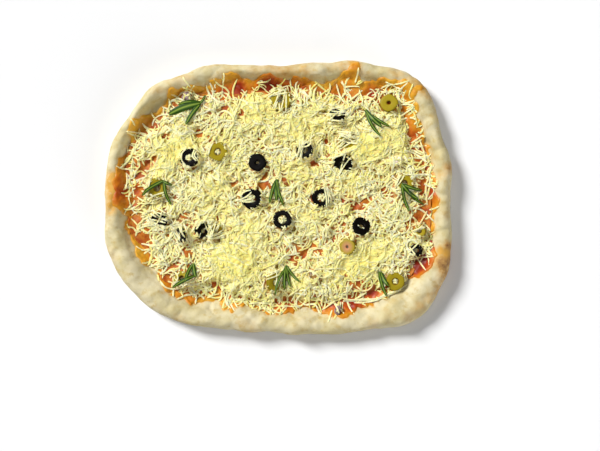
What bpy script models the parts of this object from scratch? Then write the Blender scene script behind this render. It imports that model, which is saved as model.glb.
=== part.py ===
"""Seafood pizza on a thick, hand-stretched base with a rounded-rectangular outline.

A pale crust with a raised rim carries a thin layer of tomato sauce and a heap of grated cheese. Rings of
black and green olive, sprigs of rosemary and a few pieces of seafood sit in and on the cheese.
The script's own unit is the millimetre; every mesh is scaled to metres as it is made.
X runs along the pizza's length, Z is up and the underside lies on Z = 0.
"""

import math
import random

import bmesh
import bpy
from mathutils import Matrix, Vector
from mathutils.bvhtree import BVHTree

MM = 0.001
GAP = 0.32  # clearance left between touching pieces
SEED = 20

# The outline: a superellipse with a few hand-stretched bulges and dents
HALF_LENGTH = 150.0
HALF_WIDTH = 116.5
OUTLINE_POWER = 3.0
# each bulge is (direction in degrees, height, half-width in degrees)
RIM_BULGES = (
    (45, 8.5, 13), (62, 3, 7), (20, -4, 8), (92, -3, 14), (128, -4, 7), (151, -8, 11), (218, -2.5, 12),
    (243, -3, 9), (292, 3, 12), (318, 10, 12), (336, 4, 7), (357, -3, 7),
)
# small unevenness round the outlines, each (waves in a turn, height, phase)
RIM_RIPPLE = ((9, 0.5, 0.4), (14, 0.5, 2.9), (22, 0.35, 1.2))
CREST_RIPPLE = ((3, 0.5, 0.9), (7, 0.6, 2.2), (12, 0.4, 5.1))
HEAP_RIPPLE = ((11, 0.6, 1.0), (17, 0.7, 3.3), (24, 0.6, 0.4))

# The field inside the rim
FIELD_HALF_LENGTH = 132.5
FIELD_HALF_WIDTH = 101.0
FIELD_BULGES = (
    (160, 2, 12), (108, 3, 10), (60, 4, 9), (43, 9, 12), (341, 3, 9), (252, -6, 12), (216, -9, 13),
)

# The edge of the sauce, which climbs the rim in places
SAUCE_BULGES = (
    (168, 7.8, 4), (153, 6.9, 4), (143, -4.5, 4), (134, 4.5, 4), (112, 7, 6), (95, 4.3, 5), (60, 15, 4),
    (48, 12, 5), (40, 17, 5), (33, 4, 4), (0, 2.5, 8), (340, 6, 5), (323, -4, 9), (298, 4.5, 5),
    (284, -6.5, 5), (254, -8, 7), (238, -9.5, 7), (226, -4, 5), (211, -12, 7), (198, -4, 4),
)

# The heap of grated cheese on the field
HEAP_HALF_LENGTH = 131.0
HEAP_HALF_WIDTH = 93.0
HEAP_BULGES = (
    (41, 9, 7), (22, -8, 7), (57, -4, 5), (75, 4, 8), (91, -5, 6), (115, -3, 5), (130, 4, 6), (150, -5, 6),
    (172, 4, 8), (203, -10, 8), (234, -14, 10), (322, 6, 6), (340, 5, 4),
)

# The section of the crust: the rim's stations are shares of its width and of its height
FLOOR_HEIGHT = 8.0
RIM_HEIGHT = 19.0
RIM_SECTION = (
    (0.50, 0.0), (0.90, 0.0), (0.955, 0.11), (0.99, 0.30), (1.0, 0.52), (0.93, 0.78), (0.77, 0.94),
    (0.52, 1.0), (0.24, 0.88), (0.0, 0.64),
)
FILLET_WIDTH = 11.0
FILLET_MIDDLE = (5.0, 1.5)  # distance in from the rim's foot, height above the floor

# The layers on the crust
BURIED = 5.0  # height at which each layer starts, before the crust is cut out of it
SAUCE_THICKNESS = 1.6
SAUCE_EDGE = 0.9
SAUCE_EDGE_WIDTH = 2.0
SAUCE_CLIMB = 0.72  # the farthest that the sauce reaches across the rim
HEAP_THICKNESS = 6.8
HEAP_EDGE = 3.0
HEAP_EDGE_WIDTH = 2.2
HEAP_SHOULDER = 14.0
HEAP_RINGS = (1.0, 0.86, 0.71, 0.55, 0.37, 0.19)  # shares of the way out to the outermost ring
HEAP_OUTER_RING = 8.0  # how far that ring lies inside the heap's edge

# Mounds and hollows in the heap, each (x, y, height, radius)
HEAP_RELIEF = (
    (-37, -56, 2.6, 24), (78, 44, 2.4, 26), (-76, 50, 1.6, 22), (18, 58, 1.8, 24), (-60, 0, 1.6, 22),
    (42, -58, 1.8, 22), (96, -20, 1.2, 20), (-108, -10, 1.0, 16), (0, 8, 1.2, 20),
    (68, -6, -3.4, 9), (24, -42, -3.2, 9), (39, 48, -2.8, 8), (-69, 54, -3.2, 8), (-115, 27, -3.0, 9),
    (-11, 18, -3.0, 7), (-70, -40, -2.4, 8),
)
# and low waves all over it, each (height, length, direction in degrees, phase)
HEAP_WAVES = ((0.45, 23.0, 15, 0.3), (0.45, 17.0, 75, 2.0), (0.4, 29.0, 130, 4.1), (0.3, 13.0, 105, 1.0))

# Shreds of cheese
SHRED_WIDTH = 2.2
SHRED_DEPTH = 1.6
SHRED_LONGEST = 27.0
SHRED_SHORTEST = 15.0
SHRED_COUNT = 60
SHRED_SECTIONS = 4
SHRED_CURL = 0.45
SHRED_RISE = 1.0
SHRED_TRIES = 24
SHRED_OVERHANG = 3.0  # how far one may reach past the core's edge
TOPPING_ROOM = 1.8  # room kept round an olive or a piece of seafood
NEEDLE_ROOM = 2.8  # room kept beside a needle

# Olive rings, each (x, y, outer radius, rise above the cheese, tilt in degrees, direction that it leans to)
RING_THICKNESS = 4.2
RING_HOLE_SHARE = 0.45
RING_BELLY = 0.55  # share of the thickness over which the outer side is upright
RING_RISE = 0.5
RING_SIDES = 11
BLACK_OLIVES = (
    (-77.0, 34.0, 8.2, 0.0, 4, 200), (-18.5, 30.0, 7.6, 0.9, 3, 90), (22.0, 40.5, 7.3, 0.1, 8, 150),
    (55.0, 29.5, 8.6, 0.6, 42, 250), (-23.5, -1.0, 8.9, 0.4, 8, 240), (36.5, 0.0, 8.2, 0.5, 6, 300),
    (3.0, -19.0, 8.0, 0.8, 5, 80), (70.5, -25.0, 8.0, 0.9, 26, 60), (-65.5, -28.5, 7.2, 0.2, 40, 0),
    (-102.5, -19.0, 7.2, -0.4, 36, 250), (-84.0, -32.5, 6.6, -0.2, 66, 190), (118.0, -45.5, 5.4, 0.3, 25, 90),
    (50.0, 70.5, 7.0, -0.2, 38, 80),
)
GREEN_OLIVES = (
    (-52.5, 39.0, 8.0, 0.7, 6, 30), (94.5, 81.0, 7.6, 0.9, 12, 130), (-104.5, 8.0, 8.6, 0.4, 10, 0),
    (108.0, 12.0, 7.2, 0.6, 8, 60), (59.0, -42.5, 7.2, 1.0, 20, 180), (-3.0, -73.0, 8.6, 0.5, 30, 0),
    (100.0, -72.0, 8.0, 0.8, 10, 300), (-83.0, -70.0, 6.8, 0.7, 20, 120), (1.5, 84.0, 9.0, 0.3, 12, 90),
    (58.5, 48.0, 7.4, -0.8, 22, 270), (-54.0, -29.5, 6.2, -0.5, 35, 0), (121.0, -29.0, 5.2, 0.2, 15, 180),
)

# Rosemary: a sprig is a tuple of needles, each (x, y) at its foot and at its tip, then its width
NEEDLE_THICKNESS = 1.1
NEEDLE_RISE = 1.0  # height above what lies under it
NEEDLE_LIFT = 0.7  # how much more the tip rises
NEEDLE_SAG = 0.06  # sideways bend, as a share of the length
NEEDLE_TIP = (0.35, 0.3)  # width and thickness
NEEDLE_STATIONS = ((0.0, 0.6), (0.45, 1.0))  # share of the length, share of the width
NEEDLE_SEARCH = 2.6
KNOT_RADIUS = 1.5
ROSEMARY = (
    (
        ((-67.5, 81.0), (-95.0, 71.5), 4.4), ((-67.0, 81.5), (-87.0, 80.0), 2.6),
        ((-67.5, 80.5), (-80.0, 62.5), 3.2), ((-68.5, 80.0), (-63.5, 88.5), 1.8),
    ),
    (
        ((74.0, 75.5), (88.0, 60.5), 3.2), ((74.5, 74.5), (87.0, 52.5), 2.4),
        ((80.0, 70.5), (95.0, 61.0), 2.2),
    ),
    (
        ((-2.0, 15.5), (-8.0, -5.0), 2.6), ((-2.0, 15.0), (3.5, -4.5), 2.6),
        ((-1.5, 15.5), (-2.0, -3.0), 3.0), ((-1.0, 14.0), (4.5, -8.0), 1.8),
    ),
    (
        ((-98.5, 14.5), (-118.0, 1.5), 2.6), ((-98.5, 14.5), (-92.5, -6.5), 2.4),
        ((-99.5, 14.0), (-91.5, 10.5), 2.2),
    ),
    (
        ((105.0, 11.5), (123.5, 6.0), 2.4), ((105.5, 11.0), (120.0, -1.5), 3.0),
        ((105.0, 10.5), (112.0, -12.0), 2.4), ((106.0, 10.5), (125.0, -6.0), 2.0),
    ),
    (
        ((-73.5, -56.5), (-71.5, -68.5), 3.0), ((-74.0, -57.0), (-80.0, -72.5), 2.4),
        ((-71.5, -67.0), (-92.0, -78.0), 2.6),
    ),
    (
        ((6.5, -58.5), (10.0, -77.0), 2.2), ((6.5, -58.5), (18.0, -72.5), 2.0),
        ((6.0, -58.5), (5.0, -79.5), 2.4), ((6.0, -60.0), (-3.5, -85.0), 1.8),
    ),
    (((86.0, -63.5), (92.5, -85.0), 2.4), ((87.5, -64.0), (94.0, -76.0), 3.0)),
)

# Seafood that shows, each (name, x, y, rise above the cheese, half-sizes, direction of its length)
SEAFOOD = (
    ("octopus_piece_01", -79.0, 86.0, -1.2, (5.2, 3.4, 2.8), 80, "octopus"),
    ("octopus_piece_02", 51.0, -97.0, -0.4, (4.4, 2.6, 2.2), 75, "octopus"),
    ("squid_piece_01", 101.5, 30.5, -0.8, (5.6, 3.6, 2.6), 20, "squid"),
    ("mussel_01", 31.5, -66.5, -0.6, (6.4, 3.6, 2.8), 155, "mussel"),
)

SEAFOOD_BEND = 0.05

# Mesh resolution
CRUST_COLUMNS = 60
HEAP_COLUMNS = 50

# name: colour, roughness, metallic
FINISHES = {
    "dough": ((0.72, 0.62, 0.40), 0.75, 0.0),
    "tomato_sauce": ((0.52, 0.13, 0.02), 0.35, 0.0),
    "cheese": ((0.87, 0.76, 0.36), 0.55, 0.0),
    "black_olive": ((0.012, 0.010, 0.008), 0.25, 0.0),
    "green_olive": ((0.42, 0.30, 0.02), 0.3, 0.0),
    "rosemary": ((0.05, 0.11, 0.015), 0.55, 0.0),
    "octopus": ((0.33, 0.20, 0.22), 0.35, 0.0),
    "squid": ((0.80, 0.74, 0.66), 0.35, 0.0),
    "mussel": ((0.33, 0.22, 0.08), 0.35, 0.0),
}


def clear_scene():
    for obj in list(bpy.data.objects):
        bpy.data.objects.remove(obj, do_unlink=True)


def new_collection(name):
    collection = bpy.data.collections.new(name)
    bpy.context.scene.collection.children.link(collection)
    return collection


def finish_material(slot):
    """The material of one food, made once."""
    material = bpy.data.materials.get(slot)
    if material is None:
        colour, roughness, metallic = FINISHES[slot]
        material = bpy.data.materials.new(slot)
        material.use_nodes = True
        shader = material.node_tree.nodes["Principled BSDF"]
        shader.inputs["Base Color"].default_value = (*colour, 1.0)
        shader.inputs["Roughness"].default_value = roughness
        shader.inputs["Metallic"].default_value = metallic
    return material


def smooth_step(value):
    value = min(max(value, 0.0), 1.0)
    return value * value * (3.0 - 2.0 * value)


# Outlines, as a radius in each direction from the middle of the field


def superellipse(theta, half_x, half_y):
    across = abs(math.cos(theta) / half_x) ** OUTLINE_POWER
    along = abs(math.sin(theta) / half_y) ** OUTLINE_POWER
    return (across + along) ** (-1.0 / OUTLINE_POWER)


def bulged(theta, table):
    total = 0.0
    for direction, height, width in table:
        turn = (math.degrees(theta) - direction + 180.0) % 360.0 - 180.0
        total += height * math.exp(-((turn / width) ** 2))
    return total


def ripple(theta, table):
    return sum(height * math.cos(waves * theta + phase) for waves, height, phase in table)


def rim_radius(theta):
    edge = superellipse(theta, HALF_LENGTH, HALF_WIDTH) + bulged(theta, RIM_BULGES)
    return edge + ripple(theta, RIM_RIPPLE)


def field_radius(theta):
    return superellipse(theta, FIELD_HALF_LENGTH, FIELD_HALF_WIDTH) + bulged(theta, FIELD_BULGES)


def sauce_radius(theta):
    edge = superellipse(theta, FIELD_HALF_LENGTH, FIELD_HALF_WIDTH) + bulged(theta, SAUCE_BULGES)
    foot, rim = field_radius(theta), rim_radius(theta)
    return min(edge, foot + SAUCE_CLIMB * (rim - foot))


def heap_radius(theta):
    edge = superellipse(theta, HEAP_HALF_LENGTH, HEAP_HALF_WIDTH) + bulged(theta, HEAP_BULGES)
    edge += ripple(theta, HEAP_RIPPLE)
    return min(edge, field_radius(theta) - 1.5, sauce_radius(theta) - 1.0)


# The crust


def rim_crest(theta):
    return RIM_HEIGHT + ripple(theta, CREST_RIPPLE)


def crust_stations(theta):
    """(radius, height) from the middle of the underside, round the rim and back over the floor."""
    foot, edge = field_radius(theta), rim_radius(theta)
    width, crest = edge - foot, rim_crest(theta)
    inset, rise = FILLET_MIDDLE
    under = [(0.0, 0.0), (0.5 * foot, 0.0)]
    rim = [(foot + width * share, crest * height) for share, height in RIM_SECTION]
    fillet = [(foot - inset, FLOOR_HEIGHT + rise), (foot - FILLET_WIDTH, FLOOR_HEIGHT)]
    return under + rim + fillet + [(0.5 * foot, FLOOR_HEIGHT), (0.0, FLOOR_HEIGHT)]


def crust_height(theta, radius):
    """Height of the crust's upper face, read between its stations."""
    stations = crust_stations(theta)
    widest = max(range(len(stations)), key=lambda k: stations[k][0])
    upper = stations[widest:]
    for (outer, high), (inner, low) in zip(upper, upper[1:]):
        if inner <= radius <= outer:
            return low + (high - low) * (radius - inner) / (outer - inner)
    return upper[0][1]


# Layers on the crust


def sauce_stations(theta, spare=0.0):
    """(radius, height) over the sauce, with its side moved out by the spare distance."""
    edge, foot = sauce_radius(theta), field_radius(theta)
    blunt = edge - SAUCE_EDGE_WIDTH
    inner = min(foot, blunt - SAUCE_EDGE_WIDTH)
    fillet = min(foot - FILLET_MIDDLE[0], inner - 3.0)
    floor = min(foot - FILLET_WIDTH, fillet - 5.0)
    under = [(0.0, BURIED), (edge - 0.3 * SAUCE_EDGE_WIDTH + spare, BURIED)]
    side = [(edge + spare, crust_height(theta, edge) + SAUCE_EDGE)]
    radii = (blunt, inner, fillet, floor, 0.5 * foot, 0.0)
    return under + side + [(radius, crust_height(theta, radius) + SAUCE_THICKNESS) for radius in radii]


def spared_sauce_stations(theta):
    return sauce_stations(theta, GAP)


def heap_relief(x, y):
    total = 0.0
    for centre_x, centre_y, height, radius in HEAP_RELIEF:
        total += height * math.exp(-((x - centre_x) ** 2 + (y - centre_y) ** 2) / radius**2)
    for height, length, direction, phase in HEAP_WAVES:
        turn = math.radians(direction)
        total += height * math.sin(math.tau * (x * math.cos(turn) + y * math.sin(turn)) / length + phase)
    return total


def heap_height(theta, radius):
    """Height of the heap's surface, without the shreds that stand out of it."""
    inside = smooth_step((heap_radius(theta) - radius) / HEAP_SHOULDER)
    x, y = radius * math.cos(theta), radius * math.sin(theta)
    depth = HEAP_EDGE + (HEAP_THICKNESS - HEAP_EDGE) * inside + inside * heap_relief(x, y)
    return crust_height(theta, radius) + SAUCE_THICKNESS + depth


def height_at(x, y):
    return heap_height(math.atan2(y, x), math.hypot(x, y))


def heap_stations(theta):
    edge = heap_radius(theta)
    blunt, outermost = edge - HEAP_EDGE_WIDTH, edge - HEAP_OUTER_RING
    under = [(0.0, BURIED), (edge - 0.5 * HEAP_EDGE_WIDTH, BURIED)]
    side = [(edge, crust_height(theta, edge) + SAUCE_THICKNESS + 0.45 * HEAP_EDGE)]
    radii = [blunt] + [outermost * share for share in HEAP_RINGS] + [0.0]
    return under + side + [(radius, heap_height(theta, radius)) for radius in radii]


# Meshes


def mesh_object(name, bm, collection, slot=None):
    """Makes an object from a mesh in millimetres, with faces out and smooth."""
    bmesh.ops.scale(bm, vec=(MM, MM, MM), verts=bm.verts)
    bmesh.ops.recalc_face_normals(bm, faces=bm.faces)
    mesh = bpy.data.meshes.new(name)
    bm.to_mesh(mesh)
    bm.free()
    obj = bpy.data.objects.new(name, mesh)
    collection.objects.link(obj)
    if slot:
        mesh.materials.append(finish_material(slot))
    return obj


def shaped_disc(stations, columns, lift=0.0):
    """A sphere whose rings are moved to the stations of each direction: a closed disc of any profile."""
    rings = len(stations(0.0)) - 1
    bm = bmesh.new()
    bmesh.ops.create_uvsphere(bm, u_segments=columns, v_segments=rings, radius=1.0)
    for vert in bm.verts:
        theta = math.atan2(vert.co.y, vert.co.x)
        ring = round(math.acos(max(-1.0, min(1.0, -vert.co.z))) / math.pi * rings)
        radius, height = stations(theta)[ring]
        vert.co = (radius * math.cos(theta), radius * math.sin(theta), height + lift)
    bmesh.ops.triangulate(bm, faces=bm.faces, quad_method="FIXED")
    return bm


def helper(obj):
    """Marks a cutter, which the finished part leaves out."""
    obj.hide_render = True
    obj.display_type = "WIRE"
    return obj


def apply_boolean(obj, operation, others):
    """Joins or cuts obj with a collection of meshes and keeps the result as its own mesh."""
    modifier = obj.modifiers.new(operation.title(), "BOOLEAN")
    modifier.operation = operation
    modifier.operand_type = "COLLECTION"
    modifier.collection = others
    modifier.solver = "MANIFOLD"
    graph = bpy.context.evaluated_depsgraph_get()
    mesh = bpy.data.meshes.new_from_object(obj.evaluated_get(graph))
    obj.modifiers.clear()
    obj.data = mesh


def drop_collection(collection):
    for obj in list(collection.objects):
        bpy.data.objects.remove(obj, do_unlink=True)
    bpy.data.collections.remove(collection)


def keep_largest_body(obj):
    """Drops the loose scraps that a cut leaves, and keeps the body with the most faces."""
    bm = bmesh.new()
    bm.from_mesh(obj.data)
    seen, bodies = set(), []
    for start in bm.verts:
        if start in seen:
            continue
        body, edge_of_body = {start}, [start]
        while edge_of_body:
            vert = edge_of_body.pop()
            for edge in vert.link_edges:
                other = edge.other_vert(vert)
                if other not in body:
                    body.add(other)
                    edge_of_body.append(other)
        seen |= body
        bodies.append(body)
    largest = max(bodies, key=len)
    bmesh.ops.delete(bm, geom=[v for v in bm.verts if v not in largest], context="VERTS")
    bm.to_mesh(obj.data)
    bm.free()


class Surface:
    """Reads the height of the meshes made so far, straight down at a point."""

    def __init__(self, objects):
        self.trees = [BVHTree.FromObject(obj, bpy.context.evaluated_depsgraph_get()) for obj in objects]

    def height(self, x, y):
        start = Vector((x, y, 100.0)) * MM
        found = [tree.ray_cast(start, Vector((0.0, 0.0, -1.0)))[0] for tree in self.trees]
        return max((hit.z / MM for hit in found if hit is not None), default=0.0)

    def highest_near(self, x, y, reach):
        around = [(x, y)]
        for k in range(6):
            turn = math.tau * k / 6
            around.append((x + reach * math.cos(turn), y + reach * math.sin(turn)))
        return max(self.height(*point) for point in around)


# Olive rings


def ring_mesh(outer):
    """A slice of a pitted olive, lying flat at the origin: a turned outline with a bellied outer side."""
    hole, half = RING_HOLE_SHARE * outer, 0.5 * RING_THICKNESS
    belly = RING_BELLY * half
    profile = ((hole, -half), (outer, -belly), (outer, belly), (hole, half))
    bm = bmesh.new()
    corners = [bm.verts.new((radius, 0.0, z)) for radius, z in profile]
    edges = [bm.edges.new((corners[k], corners[(k + 1) % len(corners)])) for k in range(len(corners))]
    axis, middle = (0, 0, 1), (0, 0, 0)
    bmesh.ops.spin(
        bm, geom=corners + edges, axis=axis, cent=middle, angle=math.tau, steps=RING_SIDES, use_merge=True
    )
    bmesh.ops.remove_doubles(bm, verts=bm.verts, dist=0.01)
    return bm


def nest_mesh(outer):
    """The slightly larger disc that makes room for a ring in the cheese."""
    reach = outer + GAP
    bm = bmesh.new()
    bmesh.ops.create_cone(
        bm, cap_ends=True, segments=RING_SIDES, radius1=reach, radius2=reach, depth=RING_THICKNESS + 2 * GAP
    )
    return bm


def lean(tilt, direction):
    """A turn that lowers the side of a flat piece that faces the direction."""
    turn = math.radians(direction)
    axis = Vector((-math.sin(turn), math.cos(turn), 0.0))
    return Matrix.Rotation(math.radians(tilt), 4, axis)


def place(bm, x, y, z, turn):
    bmesh.ops.transform(bm, matrix=Matrix.Translation((x, y, z)) @ turn, verts=bm.verts)
    return bm


def olive_rings(kind, table, part, cutters):
    """One ring for each row, and a slightly larger one that cuts its nest in the cheese."""
    rings = []
    for number, (x, y, outer, rise, tilt, direction) in enumerate(table, start=1):
        turn = lean(tilt, direction)
        z = height_at(x, y) + RING_RISE + rise - 0.1 * outer * math.sin(math.radians(tilt))
        name = f"{kind}_{number:02d}"
        rings.append(mesh_object(name, place(ring_mesh(outer), x, y, z, turn), part, kind))
        nest = place(nest_mesh(outer), x, y, z, turn)
        helper(mesh_object(f"nest_{name}", nest, cutters))
    return rings


# Seafood


def seafood_mesh(sizes, clearance=0.0):
    """A plump, slightly bent lozenge."""
    bm = bmesh.new()
    bmesh.ops.create_uvsphere(bm, u_segments=8, v_segments=5, radius=1.0)
    for vert in bm.verts:
        x, y, z = (vert.co[axis] * (sizes[axis] + clearance) for axis in range(3))
        vert.co = (x, y + SEAFOOD_BEND * x * x, z)
    return bm


def seafood(part, cutters, sauce_below):
    pieces = []
    for name, x, y, rise, sizes, direction, slot in SEAFOOD:
        turn = Matrix.Rotation(math.radians(direction), 4, "Z")
        z = max(height_at(x, y) + rise, sauce_below.highest_near(x, y, 0.6 * sizes[0]) + sizes[2] + GAP)
        pieces.append(mesh_object(name, place(seafood_mesh(sizes), x, y, z, turn), part, slot))
        nest = place(seafood_mesh(sizes, GAP), x, y, z, turn)
        helper(mesh_object(f"nest_{name}", nest, cutters))
    return pieces


# Strips, for shreds of cheese and needles of rosemary


def strip_mesh(points, widths, depths):
    """A closed strip with a four-cornered section carried along the points."""
    bm = bmesh.new()
    sections = []
    for k, point in enumerate(points):
        ahead = points[min(k + 1, len(points) - 1)] - points[max(k - 1, 0)]
        ahead.normalize()
        side = ahead.cross(Vector((0, 0, 1))).normalized()
        up = side.cross(ahead).normalized()
        half_side, half_up = side * widths[k] * 0.5, up * depths[k] * 0.5
        corners = (point + half_side, point + half_up, point - half_side, point - half_up)
        sections.append([bm.verts.new(corner) for corner in corners])
    for before, after in zip(sections, sections[1:]):
        for k in range(4):
            bm.faces.new((before[k], before[(k + 1) % 4], after[(k + 1) % 4], after[k]))
    bm.faces.new(sections[0])
    bm.faces.new(list(reversed(sections[-1])))
    return bm


def needle_mesh(foot, tip, width, surface):
    """A flat, tapering needle that lies over what is under it and lifts a little at its tip."""
    shares = [share for share, _ in NEEDLE_STATIONS] + [1.0]
    start, end = Vector((*foot, 0.0)), Vector((*tip, 0.0))
    side = (end - start).cross(Vector((0, 0, 1)))
    points = [start.lerp(end, share) + side * NEEDLE_SAG * math.sin(math.pi * share) for share in shares]
    clear = 0.5 * NEEDLE_THICKNESS + NEEDLE_RISE
    heights = [surface.highest_near(point.x, point.y, NEEDLE_SEARCH) + clear for point in points]
    level = max(heights[:-1])
    for point, share, height in zip(points, shares, heights):
        point.z = max(level, height) + NEEDLE_LIFT * share
    widths = [width * wide for _, wide in NEEDLE_STATIONS] + [NEEDLE_TIP[0]]
    depths = [NEEDLE_THICKNESS] * len(NEEDLE_STATIONS) + [NEEDLE_TIP[1]]
    return strip_mesh(points, widths, depths)


def rosemary(part, surface):
    for number, needles in enumerate(ROSEMARY, start=1):
        others = new_collection("needles")
        first = mesh_object(f"rosemary_{number:02d}", needle_mesh(*needles[0], surface), part, "rosemary")
        for needle in needles[1:]:
            mesh_object("needle", needle_mesh(*needle, surface), others)
        foot = needles[0][0]
        knot = bmesh.new()
        bmesh.ops.create_uvsphere(knot, u_segments=5, v_segments=3, radius=KNOT_RADIUS)
        middle = max(vert.co.z for vert in first.data.vertices[:4]) / MM - 0.4 * NEEDLE_THICKNESS
        place(knot, *foot, middle, Matrix.Identity(4))
        mesh_object("knot", knot, others)
        apply_boolean(first, "UNION", others)
        drop_collection(others)
        keep_largest_body(first)


# Grated cheese


def shred_points(x, y, heading, length, curl, surface):
    """The middle line of a bent strip whose ends are tucked into the heap."""
    step = length / (SHRED_SECTIONS - 1)
    points, turn = [], heading
    for _ in range(SHRED_SECTIONS):
        points.append(Vector((x, y, surface.height(x, y) + SHRED_RISE)))
        x, y, turn = x + step * math.cos(turn), y + step * math.sin(turn), turn + curl
    points[0].z -= SHRED_DEPTH
    points[-1].z -= SHRED_DEPTH
    return points


def segment_distance(x, y, start, end):
    run = Vector(end) - Vector(start)
    share = max(0.0, min(1.0, (Vector((x, y)) - Vector(start)).dot(run) / run.length_squared))
    return (Vector((x, y)) - Vector(start) - run * share).length


def clear_of_toppings(x, y):
    """True where a shred can lie without crossing an olive, a needle or a piece of seafood."""
    for row in BLACK_OLIVES + GREEN_OLIVES:
        if math.hypot(x - row[0], y - row[1]) < row[2] + TOPPING_ROOM:
            return False
    for row in SEAFOOD:
        if math.hypot(x - row[1], y - row[2]) < row[4][0] + TOPPING_ROOM:
            return False
    needles = [needle for sprig in ROSEMARY for needle in sprig]
    return all(segment_distance(x, y, foot, tip) > NEEDLE_ROOM for foot, tip, _ in needles)


def shred_fits(points, surface):
    """True if the whole strip is on the heap or just past its edge, and clear of the toppings."""
    for before, after in zip(points, points[1:]):
        for share in (0.0, 0.5, 1.0):
            x, y, _ = before.lerp(after, share)
            limit = heap_radius(math.atan2(y, x)) + SHRED_OVERHANG
            if not clear_of_toppings(x, y) or math.hypot(x, y) > limit:
                return False
    return surface.height(points[0].x, points[0].y) > FLOOR_HEIGHT


def shreds(collection, surface):
    """Shreds spread evenly over the heap, the longest first: each is the farthest of a few random places."""
    draw = random.Random(SEED)
    placed = []
    for number in range(SHRED_COUNT):
        length = SHRED_LONGEST + (SHRED_SHORTEST - SHRED_LONGEST) * number / SHRED_COUNT
        best, best_room = None, -1.0
        for _ in range(SHRED_TRIES):
            x = draw.uniform(-HEAP_HALF_LENGTH, HEAP_HALF_LENGTH)
            y = draw.uniform(-HEAP_HALF_WIDTH, HEAP_HALF_WIDTH)
            heading, curl = draw.uniform(0.0, math.tau), draw.uniform(-SHRED_CURL, SHRED_CURL)
            points = shred_points(x, y, heading, length, curl, surface)
            middle = (points[1] + points[2]) / 2
            room = min(((middle - other).length for other in placed), default=2.0 * HEAP_HALF_LENGTH)
            if room > best_room and shred_fits(points, surface):
                best, best_room = points, room
        if best:
            placed.append((best[1] + best[2]) / 2)
            widths = (SHRED_WIDTH,) * SHRED_SECTIONS
            mesh_object("shred", strip_mesh(best, widths, (SHRED_DEPTH,) * SHRED_SECTIONS), collection)


def main():
    clear_scene()
    part = new_collection("seafood_pizza")
    cutters = new_collection("cutters")

    crust = mesh_object("crust", shaped_disc(crust_stations, CRUST_COLUMNS), part, "dough")
    crust_cutters = new_collection("crust_cutter")
    raised_crust = shaped_disc(crust_stations, CRUST_COLUMNS, GAP)
    helper(mesh_object("raised_crust", raised_crust, crust_cutters))

    sauce = mesh_object("tomato_sauce", shaped_disc(sauce_stations, CRUST_COLUMNS), part, "tomato_sauce")
    apply_boolean(sauce, "DIFFERENCE", crust_cutters)
    keep_largest_body(sauce)
    raised_sauce = shaped_disc(spared_sauce_stations, CRUST_COLUMNS, GAP)
    helper(mesh_object("raised_sauce", raised_sauce, cutters))
    for obj in list(crust_cutters.objects):
        cutters.objects.link(obj)

    cheese = mesh_object("grated_cheese", shaped_disc(heap_stations, HEAP_COLUMNS), part, "cheese")
    core = Surface([cheese, crust])
    toppings = olive_rings("black_olive", BLACK_OLIVES, part, cutters)
    toppings += olive_rings("green_olive", GREEN_OLIVES, part, cutters)
    toppings += seafood(part, cutters, Surface([crust, sauce]))

    strips = new_collection("shreds")
    shreds(strips, core)
    apply_boolean(cheese, "UNION", strips)
    drop_collection(strips)
    rosemary(part, Surface([cheese, crust] + toppings))
    apply_boolean(cheese, "DIFFERENCE", cutters)
    keep_largest_body(cheese)
    drop_collection(cutters)
    bpy.data.collections.remove(crust_cutters)

    corners = [vert.co for vert in crust.data.vertices]
    middle = [(min(c[axis] for c in corners) + max(c[axis] for c in corners)) / 2 for axis in (0, 1)]
    for obj in part.objects:
        obj.data.transform(Matrix.Translation((-middle[0], -middle[1], 0.0)))
        obj.data.shade_smooth()
        obj.data.set_sharp_from_angle(angle=math.radians(40))


main()
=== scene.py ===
"""Seafood pizza on a rounded-rectangular base, dressed for a photograph taken from straight above.

Every length in this script is in millimetres and every mesh is scaled to metres as it is made. Plan positions
are measured from the middle of the sauce field, X to the right and Y to the top of the photograph.
"""

import logging
import math
from dataclasses import dataclass
from enum import Enum

import bmesh
import bpy
import numpy as np
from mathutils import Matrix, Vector

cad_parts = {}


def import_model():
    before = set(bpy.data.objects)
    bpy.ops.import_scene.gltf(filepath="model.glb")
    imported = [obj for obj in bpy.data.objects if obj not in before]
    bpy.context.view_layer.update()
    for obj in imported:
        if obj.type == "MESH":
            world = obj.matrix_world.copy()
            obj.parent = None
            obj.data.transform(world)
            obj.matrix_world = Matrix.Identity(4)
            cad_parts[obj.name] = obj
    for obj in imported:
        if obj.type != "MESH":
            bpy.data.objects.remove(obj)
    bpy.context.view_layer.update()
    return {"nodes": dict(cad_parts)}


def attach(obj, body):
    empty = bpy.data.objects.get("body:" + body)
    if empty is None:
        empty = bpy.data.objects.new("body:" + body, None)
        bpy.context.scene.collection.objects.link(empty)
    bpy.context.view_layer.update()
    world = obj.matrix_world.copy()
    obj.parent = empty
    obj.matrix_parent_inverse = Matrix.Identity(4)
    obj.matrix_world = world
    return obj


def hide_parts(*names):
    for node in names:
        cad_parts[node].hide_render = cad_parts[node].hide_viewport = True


Array = np.ndarray
Tree = bpy.types.NodeTree
Socket = bpy.types.NodeSocket

MM = 0.001
MIDDLE = np.array([-0.589, -0.225, 0.0])  # middle of the outline's box, seen from the middle of the field

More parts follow.
